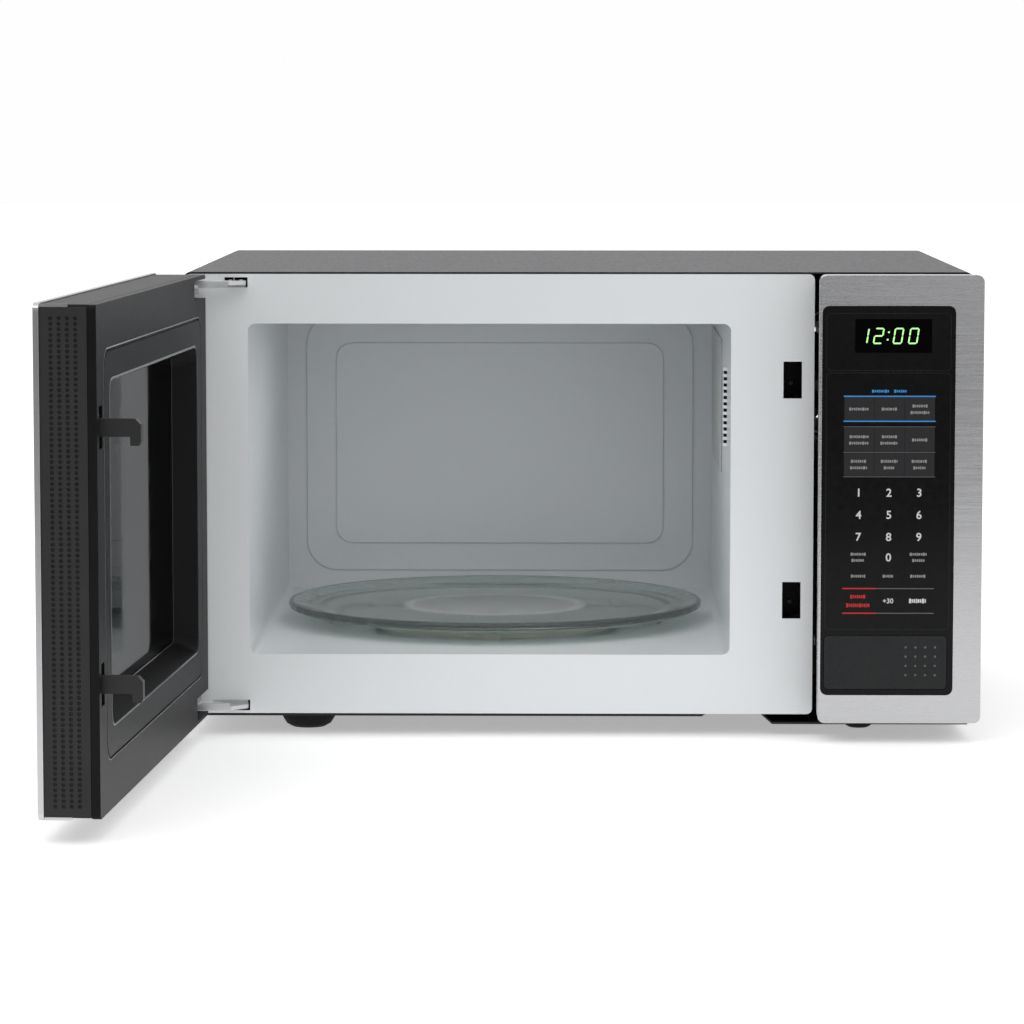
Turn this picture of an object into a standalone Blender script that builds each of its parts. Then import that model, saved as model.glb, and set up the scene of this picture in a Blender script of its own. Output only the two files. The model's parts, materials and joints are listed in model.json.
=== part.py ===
"""Countertop microwave oven with a side-hinged door, standing open.

Metres, +Z up. The oven is laid out from its front left corner: x runs right from the left side of
the cover, y runs back from the front plate, z runs up from the worktop. The door is laid out shut
and then turned about its hinge. At the end the whole oven is set down with the middle of its
footprint on the origin.
"""
import math

import bmesh
import bpy
from mathutils import Matrix, Vector

# ---------------------------------------------------------------- driving dimensions
WIDTH = 0.513             # cover, side to side
HEIGHT = 0.303            # worktop to the top of the cover
DEPTH = 0.397             # front plate to the back of the cover
SHEET = 0.001             # cover, cavity, front plate and rear panel
FIT = 0.0003              # gap between pieces that touch
COVER_CORNER = 0.005      # radius of the cover's upper edges

BASE_Z = 0.0122           # underside of the base plate under the cavity
PAN_Z = 0.0072            # underside of its sunk pan under the electronics
BASE_SHEET = 0.0012
BASE_FLANGE = 0.014       # height of the base plate's upturned sides
PLATE_BOTTOM = 0.014      # lower edge of the front plate
PLATE_RIGHT = 0.410       # right edge of the front plate, where the control panel starts

CAVITY_LEFT, CAVITY_RIGHT = 0.042, 0.356
CAVITY_FLOOR, CAVITY_TOP = 0.053, 0.2695
CAVITY_DEPTH = 0.376
CAVITY_CORNER = 0.005
TRACK_RADIUS = 0.117      # sunk round track for the roller ring
TRACK_DEPTH = 0.006
EMBOSS = 0.0016           # height of each raised field on the cavity's back wall

SLOT_X = (0.390, 0.402)   # latch slots in the front plate
SLOT_HEIGHT = 0.024
SLOT_CENTRES = (0.089, 0.233)
NOTCH_X = (0.027, 0.042)  # notches for the hinge arms

PANEL_X = (0.4115, 0.5165)
PANEL_Z = (0.0134, 0.3027)
PANEL_DEPTH = 0.036
PANEL_CORNER = 0.0045
OVERLAY_X = (0.413, 0.4984)
OVERLAY_Z = (0.0317, 0.283)
WINDOW_X = (0.434, 0.483)
WINDOW_Z = (0.253, 0.2745)
BUTTON_X = (0.415, 0.4947)
BUTTON_Z = (0.0354, 0.0707)
SKIN = 0.0008             # brushed sheet on the panel and the door

DOOR_X = (0.0, 0.408)
DOOR_Z = (0.0130, 0.3027)
DOOR_THICKNESS = 0.0355
DOOR_GAP = 0.001          # between the shut door and the front plate
DOOR_CORNER = 0.004
DOOR_FOLD = 0.0034        # depth of the door skin's folded edge
DOOR_OPEN = math.radians(93.5)
HINGE_X, HINGE_Y = 0.005, -0.011
PIN_RADIUS = 0.0025
DOOR_WINDOW_X = (0.041, 0.367)
DOOR_WINDOW_Z = (0.061, 0.2575)
DOOR_RECESS = 0.0105      # depth of the sloping frame around the inner window
MOULDING_WALL = 0.003
HOOK_WIDTH = 0.006
HOOK_ARM = 0.010          # height of a latch hook's arm
HOOK_TIP = 0.005          # how far its tip turns down
HOOK_REACH = 0.022        # how far the shut hook stands behind the front plate

PLATE_RADIUS = 0.144
PLATE_GLASS = 0.0045
WHEEL_RADIUS = 0.0056
WHEEL_TRACK = 0.095       # distance of the rollers from the turntable's axis
FOOT_RADIUS = 0.0185
FOOT_PAD = 0.6            # radius of a foot's flat pad, as a share of the foot's
FOOT_INSET_Y = 0.040
FOOT_X = (0.078, 0.443)

# ---------------------------------------------------------------- sizes that follow from them
INNER_X = (SHEET + FIT, WIDTH - SHEET - FIT)
INNER_TOP = HEIGHT - SHEET - FIT
BEHIND_PLATE = SHEET + FIT
CAVITY_BACK = BEHIND_PLATE + CAVITY_DEPTH
CAVITY_MIDDLE_X = (CAVITY_LEFT + CAVITY_RIGHT) / 2
CAVITY_MIDDLE_Y = CAVITY_BACK / 2
CAVITY_SIDE = CAVITY_RIGHT + SHEET + FIT
TRACK_FLOOR = CAVITY_FLOOR - TRACK_DEPTH
PLATE_SEAT = TRACK_FLOOR + 2 * WHEEL_RADIUS + 2 * FIT
PAN_TOP = PAN_Z + BASE_SHEET + FIT
REAR_Y = DEPTH - SHEET - FIT

PANEL_FRONT = -PANEL_DEPTH
FRAME_FRONT = PANEL_FRONT + SKIN + FIT
FRAME_WALL = 0.0022
BOARD_Y = -0.013
BUTTON_Y = PANEL_FRONT + 0.004

DOOR_BACK = -DOOR_GAP
DOOR_FRONT = DOOR_BACK - DOOR_THICKNESS
FOLD_Y = DOOR_FRONT + DOOR_FOLD
COVER_Y = DOOR_BACK - 0.005           # front of the choke cover's rim
MOULDING_Y = (FOLD_Y + FIT, COVER_Y - FIT)
TRIM_THICKNESS = 0.0022
MOULDING_X = (DOOR_X[0] + 0.0008, DOOR_X[1] - TRIM_THICKNESS - 2 * FIT)
MOULDING_Z = (DOOR_Z[0] + 0.001, DOOR_Z[1] - 0.001)
FUNNEL_Y = COVER_Y - DOOR_RECESS
STEEL_Y = (DOOR_FRONT + 0.0135, DOOR_FRONT + 0.015)
HOOK_X = (SLOT_X[0] + 0.003, SLOT_X[0] + 0.003 + HOOK_WIDTH)
HOOK_Z = tuple(centre - SLOT_HEIGHT / 2 + 0.007 for centre in SLOT_CENTRES)
BAR_Y = (STEEL_Y[0] - 0.003, STEEL_Y[1] + 0.0055)
BAR_X = (HOOK_X[0] - 0.002, HOOK_X[1] + 0.002)
BAR_Z = (HOOK_Z[0] - 0.012, HOOK_Z[1] + HOOK_ARM + 0.014)
SPRING_TOP = BAR_Z[1] + 0.023

UPPER_ARM_Z = (PLATE_BOTTOM + 0.281, PLATE_BOTTOM + 0.2835)
LOWER_ARM_Z = (PLATE_BOTTOM + 0.004, PLATE_BOTTOM + 0.0065)
UPPER_POCKET_Z = (UPPER_ARM_Z[0] - 0.0085, UPPER_ARM_Z[1] + 0.0015)
LOWER_POCKET_Z = (LOWER_ARM_Z[0] - 0.0015, LOWER_ARM_Z[1] + 0.0105)

LEVER_Y, LEVER_Z = 0.009, 0.062
LEVER_RADIUS = 0.0025
SWITCH_Y = HOOK_REACH + 0.003
SWITCH_X = (HOOK_X[0] - 0.002, SLOT_X[1] + 0.0002)
FAN_X, FAN_Z = 0.445, 0.215
FAN_RADIUS = 0.043
GLAND_PLACE = (0.465, 0.070)
GLAND_NECK = 0.009
GUIDE_MOUTH_Y = (0.215, 0.265)
GUIDE_MOUTH_Z = (0.185, 0.235)
ANTENNA = (0.270, 0.216)
STEM_X = (0.417, 0.423)
STEM_Z = (0.045, 0.049)
BOARD_X = (0.424, 0.506)
BOARD_Z = (0.080, 0.292)
SWITCH_BASES = {"secondary": 0.0775, "monitor": 0.1500, "primary": 0.2215}
ROLLER_ANGLES = (-90, 30, 150)
GROOVE_X = (0.022, 0.384)
GROOVE_Z = (0.043, 0.275)

PARTS = bpy.data.collections.new("microwave_oven")
CUTTERS = bpy.data.collections.new("cutters")


# ---------------------------------------------------------------- helpers
def clear_scene():
    for item in list(bpy.data.objects):
        bpy.data.objects.remove(item)
    for group in (PARTS, CUTTERS):
        bpy.context.scene.collection.children.link(group)


def material(name, colour, roughness, metallic=0.0):
    finish = bpy.data.materials.new(name)
    finish.use_nodes = True
    shader = finish.node_tree.nodes["Principled BSDF"]
    shader.inputs["Base Color"].default_value = (*colour, 1.0)
    shader.inputs["Roughness"].default_value = roughness
    shader.inputs["Metallic"].default_value = metallic
    finish.diffuse_color = (*colour, 1.0)
    return finish


def add_part(name, mesh, finish, place=(0, 0, 0)):
    """A sub-part when it has a finish, otherwise a tool for a Boolean."""
    item = bpy.data.objects.new(name, mesh)
    item.location = place
    if finish:
        mesh.materials.append(finish)
        PARTS.objects.link(item)
    else:
        CUTTERS.objects.link(item)
        item.hide_render = True
        item.display_type = "WIRE"
    return item


def mesh_from(name, work):
    work.normal_update()
    bmesh.ops.recalc_face_normals(work, faces=work.faces)
    mesh = bpy.data.meshes.new(name)
    work.to_mesh(mesh)
    work.free()
    return mesh


def box(name, x, y, z, finish=None, bevel=0.0):
    """A block between two limits on each axis, with its origin at its centre."""
    work = bmesh.new()
    bmesh.ops.create_cube(work, size=1.0)
    bmesh.ops.scale(work, vec=(x[1] - x[0], y[1] - y[0], z[1] - z[0]), verts=work.verts)
    centre = (sum(x) / 2, sum(y) / 2, sum(z) / 2)
    block = add_part(name, mesh_from(name, work), finish, centre)
    if bevel:
        round_edges(block, bevel)
    return block


def boxes(name, spans, finish=None):
    """Several separate blocks in one mesh, for a row of slots or ribs."""
    work = bmesh.new()
    for x, y, z in spans:
        size = (x[1] - x[0], y[1] - y[0], z[1] - z[0])
        centre = Vector((sum(x) / 2, sum(y) / 2, sum(z) / 2))
        place = Matrix.Translation(centre) @ Matrix.Diagonal((*size, 1.0))
        bmesh.ops.create_cube(work, size=1.0, matrix=place)
    return add_part(name, mesh_from(name, work), finish)


def rod(name, axis, centre, span, radius, finish=None, sides=24):
    """A round bar along an axis; centre holds its other two coordinates, in x, y, z order."""
    turn = {"X": Matrix.Rotation(math.pi / 2, 4, "Y"),
            "Y": Matrix.Rotation(math.pi / 2, 4, "X"),
            "Z": Matrix.Identity(4)}[axis]
    work = bmesh.new()
    bmesh.ops.create_cone(work, cap_ends=True, segments=sides, radius1=radius, radius2=radius,
                          depth=span[1] - span[0], matrix=turn)
    place = list(centre)
    place.insert("XYZ".index(axis), sum(span) / 2)
    bar = add_part(name, mesh_from(name, work), finish, place)
    shade_round(bar)
    return bar


def rounded_rectangle(u, v, radius, steps=5):
    """Outline with round corners, anticlockwise from the lower right one."""
    corners = ((u[1] - radius, v[0] + radius, -90), (u[1] - radius, v[1] - radius, 0),
               (u[0] + radius, v[1] - radius, 90), (u[0] + radius, v[0] + radius, 180))
    points = []
    for cu, cv, start in corners:
        for step in range(steps + 1):
            angle = math.radians(start + 90 * step / steps)
            points.append((cu + radius * math.cos(angle), cv + radius * math.sin(angle)))
    return points


def rectangle(u, v):
    return [(u[0], v[0]), (u[1], v[0]), (u[1], v[1]), (u[0], v[1])]


def grown(limits, amount):
    return (limits[0] - amount, limits[1] + amount)


def welded(curve):
    """The closed mesh of a curve, with its caps welded on."""
    guide = bpy.data.objects.new(curve.name, curve)
    CUTTERS.objects.link(guide)
    shape = guide.evaluated_get(bpy.context.evaluated_depsgraph_get())
    work = bmesh.new()
    work.from_mesh(bpy.data.meshes.new_from_object(shape))
    bpy.data.objects.remove(guide)
    bmesh.ops.remove_doubles(work, verts=work.verts, dist=0.00001)
    return work


def prism(name, axis, span, loops, finish=None, bevel=0.0):
    """Outlines, the first one outside and the rest holes, filled and extruded along an axis.

    An outline's points are (y, z) for axis X, (x, z) for axis Y and (x, y) for axis Z.
    """
    curve = bpy.data.curves.new(name, "CURVE")
    curve.dimensions = "2D"
    curve.fill_mode = "BOTH"
    curve.extrude = (span[1] - span[0]) / 2
    for loop in loops:
        spline = curve.splines.new("POLY")
        spline.points.add(len(loop) - 1)
        for point, (u, v) in zip(spline.points, loop):
            point.co = (u, v, 0.0, 1.0)
        spline.use_cyclic_u = True
    work = welded(curve)
    place = [0.0, 0.0, 0.0]
    place["XYZ".index(axis)] = sum(span) / 2
    for vertex in work.verts:
        u, v, w = vertex.co
        vertex.co = {"X": (w, u, v), "Y": (u, w, v), "Z": (u, v, w)}[axis]
    plate = add_part(name, mesh_from(name, work), finish, place)
    if bevel:
        round_edges(plate, bevel)
    return plate


def taper(plate, axis, side, scale):
    """Shrink one end of a prism about its middle, so that its walls slope."""
    index = "XYZ".index(axis)
    middle = sum((vertex.co for vertex in plate.data.vertices), Vector()) / len(plate.data.vertices)
    for vertex in plate.data.vertices:
        if vertex.co[index] * side > 0:
            for other in {0, 1, 2} - {index}:
                vertex.co[other] = middle[other] + (vertex.co[other] - middle[other]) * scale[other]


def turned(name, place, profile, finish=None, steps=48):
    """A round piece from (radius, height) points, outer side top to bottom, about +Z."""
    work = bmesh.new()
    ring = [work.verts.new((radius, 0.0, height)) for radius, height in profile]
    for first, second in zip(ring, ring[1:]):
        work.edges.new((first, second))
    mesh = bpy.data.meshes.new(name)
    work.to_mesh(mesh)
    work.free()
    piece = add_part(name, mesh, finish, place)
    screw = piece.modifiers.new("Turn", "SCREW")
    screw.steps = screw.render_steps = steps
    screw.use_merge_vertices = True
    screw.merge_threshold = 0.00001
    screw.use_smooth_shade = True
    return piece


def round_edges(item, width, segments=2):
    bevel = item.modifiers.new("Round", "BEVEL")
    bevel.width = width
    bevel.segments = segments
    bevel.limit_method = "ANGLE"
    bevel.angle_limit = math.radians(50)


def shade_round(item):
    item.data.shade_smooth()
    item.data.set_sharp_from_angle(angle=math.radians(40))


def follow(item, leader):
    """Parent an item where it stands, so that it keeps its laid-out place."""
    item.parent = leader
    item.matrix_parent_inverse = leader.matrix_basis.inverted()


def boolean(item, tool, operation):
    step = item.modifiers.new(tool.name, "BOOLEAN")
    step.operation = operation
    step.object = tool
    follow(tool, item)


def cut(item, *tools):
    for tool in tools:
        boolean(item, tool, "DIFFERENCE")


def join(item, *tools):
    for tool in tools:
        boolean(item, tool, "UNION")


def pivot(name, place, parent):
    """An empty on a joint's axis, which carries the pieces that move with it."""
    empty = bpy.data.objects.new(name, None)
    empty.empty_display_size = 0.02
    empty.location = place
    PARTS.objects.link(empty)
    follow(empty, parent)
    return empty


def coil(name, axis, centre, span, radius, wire, turns, finish):
    """A helical spring of round wire."""
    points_a_turn = 8
    count = turns * points_a_turn
    curve = bpy.data.curves.new(name, "CURVE")
    curve.dimensions = "3D"
    curve.bevel_depth = wire
    curve.bevel_resolution = 1
    curve.use_fill_caps = True
    spline = curve.splines.new("POLY")
    spline.points.add(count)
    for number, point in enumerate(spline.points):
        angle = 2 * math.pi * number / points_a_turn
        along = span[0] + wire + (span[1] - span[0] - 2 * wire) * number / count
        first, second = radius * math.cos(angle), radius * math.sin(angle)
        point.co = {"X": (along, centre[0] + first, centre[1] + second, 1.0),
                    "Z": (centre[0] + first, centre[1] + second, along, 1.0)}[axis]
    return add_part(name, mesh_from(name, welded(curve)), finish)


# ---------------------------------------------------------------- finishes
def make_finishes():
    return {
        "cover": material("dark_grey_paint", (0.17, 0.17, 0.19), 0.42, 0.2),
        "enamel": material("white_enamel", (0.72, 0.73, 0.75), 0.32),
        "zinc": material("zinc_plated_steel", (0.55, 0.56, 0.58), 0.38, 0.9),
        "brushed": material("brushed_stainless", (0.62, 0.62, 0.63), 0.34, 1.0),
        "black": material("black_moulded_plastic", (0.02, 0.02, 0.021), 0.45),
        "gloss": material("black_gloss_plastic", (0.012, 0.012, 0.013), 0.12),
        "glass": material("clear_glass", (0.62, 0.70, 0.66), 0.04),
        "dark_glass": material("tinted_glass", (0.02, 0.021, 0.022), 0.05),
        "white_plastic": material("white_plastic", (0.75, 0.75, 0.73), 0.4),
        "rubber": material("dark_rubber", (0.03, 0.03, 0.03), 0.7),
        "board": material("circuit_board", (0.05, 0.22, 0.09), 0.5),
        "copper": material("copper_winding", (0.5, 0.2, 0.08), 0.4, 0.8),
        "core": material("laminated_core", (0.12, 0.12, 0.13), 0.5, 0.6),
        "mica": material("mica_sheet", (0.62, 0.62, 0.60), 0.5),
    }


# ---------------------------------------------------------------- casing
def make_cover(finish):
    outer = rounded_rectangle((0, WIDTH), (-HEIGHT, HEIGHT), COVER_CORNER)
    inner = rounded_rectangle((SHEET, WIDTH - SHEET), (-HEIGHT, HEIGHT - SHEET), COVER_CORNER - SHEET)
    bottom = BASE_Z + FIT
    cover = prism("outer_cover", "Y", (0, DEPTH), [clip_below(outer, bottom) + clip_below(inner, bottom)[::-1]],
                  finish["cover"])
    louvres = [((WIDTH - 2 * SHEET, WIDTH + SHEET), (y, y + 0.003), (0.150, 0.200))
               for y in [DEPTH - 0.110 + 0.008 * number for number in range(10)]]
    exhausts = [((-SHEET, 2 * SHEET), (y, y + 0.003), (0.060, 0.110))
                for y in [DEPTH - 0.110 + 0.008 * number for number in range(10)]]
    cut(cover, boxes("cover_louvres", louvres), boxes("cover_exhausts", exhausts))
    return cover


def clip_below(points, level):
    """The upper part of a closed outline, as an open run from its right foot to its left foot."""
    upper = [point for point in points if point[1] > level]
    right, left = upper[0][0], upper[-1][0]
    return [(right, level)] + upper + [(left, level)]


def make_base(finish):
    """Base plate: a flat stretch, a step up and a sunk pan, with upturned sides."""
    left, right = INNER_X
    step_x = PLATE_RIGHT - 0.072
    pan_x = PLATE_RIGHT - 0.034
    lip_z = PLATE_BOTTOM + 0.0002
    lower = [(left, BASE_Z), (step_x, BASE_Z), (step_x + 0.003, lip_z), (pan_x, lip_z),
             (pan_x + 0.008, PAN_Z), (right, PAN_Z)]
    upper = [(right - BASE_SHEET, PAN_Z + BASE_SHEET), (pan_x + 0.008, PAN_Z + BASE_SHEET),
             (pan_x, lip_z + BASE_SHEET), (step_x + 0.003, lip_z + BASE_SHEET),
             (step_x, BASE_Z + BASE_SHEET), (left + BASE_SHEET, BASE_Z + BASE_SHEET)]
    sides_top = BASE_Z + BASE_FLANGE
    outline = (lower + [(right, sides_top), (right - BASE_SHEET, sides_top)] + upper
               + [(left + BASE_SHEET, sides_top), (left, sides_top)])
    return prism("base_plate", "Y", (BEHIND_PLATE, REAR_Y - SHEET - FIT), [outline], finish["cover"])


def make_rear(finish):
    outline = rounded_rectangle(INNER_X, (BASE_Z + FIT, INNER_TOP), COVER_CORNER - SHEET - FIT)
    span = (REAR_Y - SHEET, REAR_Y)
    rear = prism("rear_panel", "Y", span, [outline], finish["zinc"])
    through = grown(span, SHEET)
    intake = [((FAN_X - 0.036, FAN_X + 0.036), through, (z, z + 0.003))
              for z in [FAN_Z - 0.036 + 0.008 * number for number in range(9)]]
    outlet = [((x, x + 0.003), through, (0.200, 0.240)) for x in [0.060 + 0.009 * n for n in range(12)]]
    cut(rear, boxes("rear_intake", intake), boxes("rear_outlet", outlet),
        rod("gland_hole", "Y", GLAND_PLACE, through, GLAND_NECK + FIT))
    return rear


def make_gland(finish):
    """Bushing that lines the hole for the mains cord: a neck through the panel and two rims."""
    neck = rod("cord_gland", "Y", GLAND_PLACE, (REAR_Y - 0.006, REAR_Y), GLAND_NECK, finish["black"])
    rims = [rod("gland_rim_" + side, "Y", GLAND_PLACE, span, GLAND_NECK + 0.003)
            for side, span in (("inner", (REAR_Y - 0.006, REAR_Y - SHEET - FIT)),)]
    join(neck, *rims)
    cut(neck, rod("gland_bore", "Y", GLAND_PLACE, (REAR_Y - 0.01, REAR_Y + 0.01), GLAND_NECK - 0.004))
    return neck


def make_feet(finish):
    feet = []
    for row, y in (("front", FOOT_INSET_Y), ("rear", DEPTH - FOOT_INSET_Y)):
        for side, x, seat, radius in (("left", FOOT_X[0], BASE_Z, FOOT_RADIUS),
                                      ("right", FOOT_X[1], PAN_Z, FOOT_RADIUS - 0.008)):
            top = seat - FIT
            profile = [(0.0, top), (radius, top), (radius, top * 0.85), (radius * 0.93, top * 0.5),
                       (radius * 0.8, top * 0.18), (radius * FOOT_PAD, 0.0), (0.0, 0.0)]
            feet.append(turned(f"foot_{row}_{side}", (x, y, 0.0), profile, finish["rubber"], 24))
    return feet


# ---------------------------------------------------------------- front plate and cavity
def make_front_plate(finish):
    outline = rounded_rectangle((INNER_X[0], PLATE_RIGHT), (PLATE_BOTTOM, INNER_TOP), COVER_CORNER - SHEET - FIT)
    mouth = rounded_rectangle((CAVITY_LEFT, CAVITY_RIGHT), (CAVITY_FLOOR, CAVITY_TOP), CAVITY_CORNER)
    holes = [rectangle(SLOT_X, grown((centre, centre), SLOT_HEIGHT / 2)) for centre in SLOT_CENTRES]
    holes.append(rectangle(NOTCH_X, grown(UPPER_ARM_Z, 0.0020)))
    holes.append(rectangle((NOTCH_X[0] - 0.0095, NOTCH_X[1]), grown(LOWER_ARM_Z, 0.0022)))
    return prism("front_plate", "Y", (0, SHEET), [outline, mouth] + holes, finish["enamel"])


def make_cavity(finish):
    """Welded cavity: a rounded tube with a closed back, a sunk roller track and raised back fields."""
    inside_x, inside_z = (CAVITY_LEFT, CAVITY_RIGHT), (CAVITY_FLOOR, CAVITY_TOP)
    shell = rounded_rectangle(grown(inside_x, SHEET), grown(inside_z, SHEET), CAVITY_CORNER + SHEET)
    hollow = rounded_rectangle(inside_x, inside_z, CAVITY_CORNER)
    cavity = prism("cavity_box", "Y", (BEHIND_PLATE, CAVITY_BACK + SHEET), [shell], finish["enamel"])
    cut(cavity, prism("cavity_hollow", "Y", (-SHEET, CAVITY_BACK), [hollow]))
    middle = (CAVITY_MIDDLE_X, CAVITY_MIDDLE_Y)
    join(cavity, rod("track_pan", "Z", middle, (TRACK_FLOOR - SHEET, CAVITY_FLOOR - SHEET / 2),
                     TRACK_RADIUS + SHEET, sides=48))
    cut(cavity, rod("track_well", "Z", middle, (TRACK_FLOOR, CAVITY_FLOOR + SHEET), TRACK_RADIUS, sides=48),
        rod("shaft_hole", "Z", middle, (TRACK_FLOOR - 0.01, TRACK_FLOOR + 0.01), 0.006))
    fields = (("back_field_outer", (0.014, 0.0135), 0.022), ("back_field_inner", (0.036, 0.034), 0.012))
    front = CAVITY_BACK + SHEET / 2
    for number, (name, (inset_x, inset_z), radius) in enumerate(fields, 1):
        field = prism(name, "Y", (CAVITY_BACK - number * EMBOSS, front),
                      [rounded_rectangle(grown(inside_x, -inset_x), grown(inside_z, -inset_z), radius, 6)])
        round_edges(field, EMBOSS * 0.6)
        join(cavity, field)
    side = (CAVITY_RIGHT - SHEET, CAVITY_SIDE + SHEET)
    vents = [(side, (0.0715, 0.0737), (z, z + 0.0022)) for z in [0.186 + 0.0042 * n for n in range(12)]]
    cut(cavity, boxes("vent_holes", vents), box("guide_mouth", side, GUIDE_MOUTH_Y, GUIDE_MOUTH_Z))
    return cavity


def make_guide_cover(finish):
    """Mica sheet that keeps spatter out of the wave guide."""
    outline = rounded_rectangle((0.165, 0.345), (0.158, 0.250), 0.003, 3)
    span = (CAVITY_RIGHT - FIT - 0.0006, CAVITY_RIGHT - FIT)
    return prism("waveguide_cover", "X", span, [outline], finish["mica"])


# ---------------------------------------------------------------- microwave generator
def make_wave_guide(finish):
    x = (CAVITY_SIDE, CAVITY_SIDE + 0.034)
    guide = box("waveguide", x, (0.200, 0.300), (0.170, 0.262), finish["zinc"])
    cut(guide, box("guide_hollow", (x[0] - SHEET, x[1] - SHEET), (0.201, 0.299), (0.171, 0.261)),
        rod("antenna_hole", "X", ANTENNA, (x[1] - 0.003, x[1] + 0.003), 0.0125))
    return guide


def make_magnetron(finish):
    """Magnetron: a yoke around a stack of cooling fins, with its antenna in the wave guide."""
    start = CAVITY_SIDE + 0.034 + FIT
    y, z = grown((ANTENNA[0], ANTENNA[0]), 0.027), grown((ANTENNA[1], ANTENNA[1]), 0.044)
    x = (start, start + 0.060)
    tube = box("magnetron", x, y, z, finish["zinc"])
    cut(tube, box("magnetron_hollow", grown(x, -0.0015), grown(y, 0.01), grown(z, -0.0015)))
    fins = [((x0, x0 + 0.0015), y, grown(z, -0.001)) for x0 in [start + 0.014 + 0.008 * n for n in range(5)]]
    join(tube, boxes("magnetron_fins", fins),
         rod("anode", "X", ANTENNA, (start + 0.001, start + 0.059), 0.019, sides=16),
         rod("antenna", "X", ANTENNA, (start - 0.020, start + 0.001), 0.0075, sides=16),
         box("filter_box", (start + 0.0585, start + 0.085), grown(y, -0.008), grown(z, -0.012)))
    return tube


def make_transformer(finish):
    """High-voltage transformer: laminated core with its two windings, bolted to the pan."""
    x, y = (0.398, 0.486), (0.120, 0.186)
    base = PAN_TOP
    core = box("hv_transformer", x, y, (base, base + 0.074), finish["core"])
    join(core, box("winding", grown(x, -0.012), grown(y, 0.018), (base + 0.014, base + 0.060), bevel=0.004),
         box("transformer_foot", grown(x, 0.008), grown(y, -0.008), (base, base + 0.002)))
    return core


def make_capacitor(finish):
    centre = (0.404, 0.262)
    base = PAN_TOP
    outline = rounded_rectangle(grown((centre[0], centre[0]), 0.017), grown((centre[1], centre[1]), 0.026),
                                0.0165, 8)
    can = prism("hv_capacitor", "Z", (base, base + 0.085), [outline], finish["zinc"], 0.001)
    join(can, boxes("capacitor_tags", [(grown((centre[0], centre[0]), 0.003), grown((y, y), 0.0005),
                                        (base + 0.080, base + 0.095)) for y in (centre[1] - 0.01, centre[1] + 0.01)]))
    return can


def make_diode(finish):
    """High-voltage diode, with the tab that fastens it to the pan."""
    body = rod("hv_diode", "X", (0.262, PAN_TOP + 0.0035), (0.432, 0.450), 0.0035, finish["black"], 16)
    join(body, box("diode_tab", (0.449, 0.464), (0.257, 0.267), (PAN_TOP, PAN_TOP + 0.001)),
         box("diode_neck", (0.448, 0.452), (0.260, 0.264), (PAN_TOP + 0.0002, PAN_TOP + 0.004)))
    return body


# ---------------------------------------------------------------- cooling
def make_fan(finish, oven):
    shroud_y = (REAR_Y - SHEET - FIT - 0.040, REAR_Y - SHEET - FIT)
    strut_y = (shroud_y[0], shroud_y[0] + 0.003)
    frame = grown((FAN_X, FAN_X), 0.050), grown((FAN_Z, FAN_Z), 0.050)
    shroud = box("fan_shroud", frame[0], shroud_y, frame[1], finish["black"])
    centre = (FAN_X, FAN_Z)
    cut(shroud, rod("fan_tunnel", "Y", centre, grown(shroud_y, SHEET), FAN_RADIUS + 0.003, sides=48))
    join(shroud, box("fan_struts", grown((FAN_X, FAN_X), 0.047), strut_y, grown((FAN_Z, FAN_Z), 0.009)))
    cut(shroud, rod("strut_hole", "Y", centre, grown(strut_y, SHEET), 0.004))
    motor_y = (strut_y[0] - FIT - 0.026, strut_y[0] - FIT)
    motor = box("fan_motor", grown((FAN_X, FAN_X), 0.024), motor_y, (FAN_Z - 0.024, FAN_Z + 0.030), finish["core"])
    join(motor, rod("fan_can", "Y", centre, (motor_y[0] - 0.012, motor_y[0] + 0.002), 0.016),
         box("fan_coil", grown((FAN_X, FAN_X), 0.014), grown(motor_y, 0.004), (FAN_Z + 0.0255, FAN_Z + 0.042)))
    cut(motor, rod("fan_bearing", "Y", centre, (motor_y[0] - 0.005, motor_y[1] + 0.01), 0.0025))
    axis = pivot("fan_axis", (FAN_X, strut_y[1], FAN_Z), oven)
    hub_y = (strut_y[1] + 0.006, strut_y[1] + 0.026)
    fan = rod("fan_blade", "Y", centre, hub_y, 0.013, finish["white_plastic"])
    join(fan, rod("fan_shaft", "Y", centre, (motor_y[0], hub_y[1] - 0.004), 0.002, sides=16))
    for number in range(5):
        blade = box(f"blade_{number}", grown((FAN_X, FAN_X), 0.011), grown((sum(hub_y) / 2,) * 2, 0.0008),
                    (FAN_Z + 0.010, FAN_Z + FAN_RADIUS))
        tilt = Matrix.Rotation(math.radians(72 * number), 4, "Y") @ Matrix.Rotation(math.radians(32), 4, "Z")
        middle = Vector((FAN_X, sum(hub_y) / 2, FAN_Z))
        blade.matrix_basis = Matrix.Translation(middle) @ tilt @ Matrix.Translation(blade.location - middle)
        join(fan, blade)
    follow(fan, axis)
    return [shroud, motor], [axis]


def make_duct(finish):
    """Duct that brings the fan's air to the cavity's vent holes, with room for the lamp."""
    x = (CAVITY_SIDE, CAVITY_SIDE + 0.028)
    duct = box("air_duct", x, (0.056, 0.150), (0.164, 0.248), finish["black"])
    cut(duct, box("duct_hollow", (x[0] - SHEET, x[1] - 0.0015), (0.0575, 0.152), (0.1655, 0.2465)))
    return duct


def make_lamp(finish):
    """Cavity lamp: a small bulb in a round socket that stands on the duct's outer wall."""
    wall = CAVITY_SIDE + 0.028 - 0.0015 - FIT
    lamp = rod("cavity_lamp", "X", (0.100, 0.206), (wall - 0.008, wall), 0.008, finish["white_plastic"], 16)
    bulb = rod("lamp_bulb", "X", (0.100, 0.206), (wall - 0.020, wall - 0.007), 0.006, sides=16)
    round_edges(bulb, 0.003)
    join(lamp, bulb)
    return lamp


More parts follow.
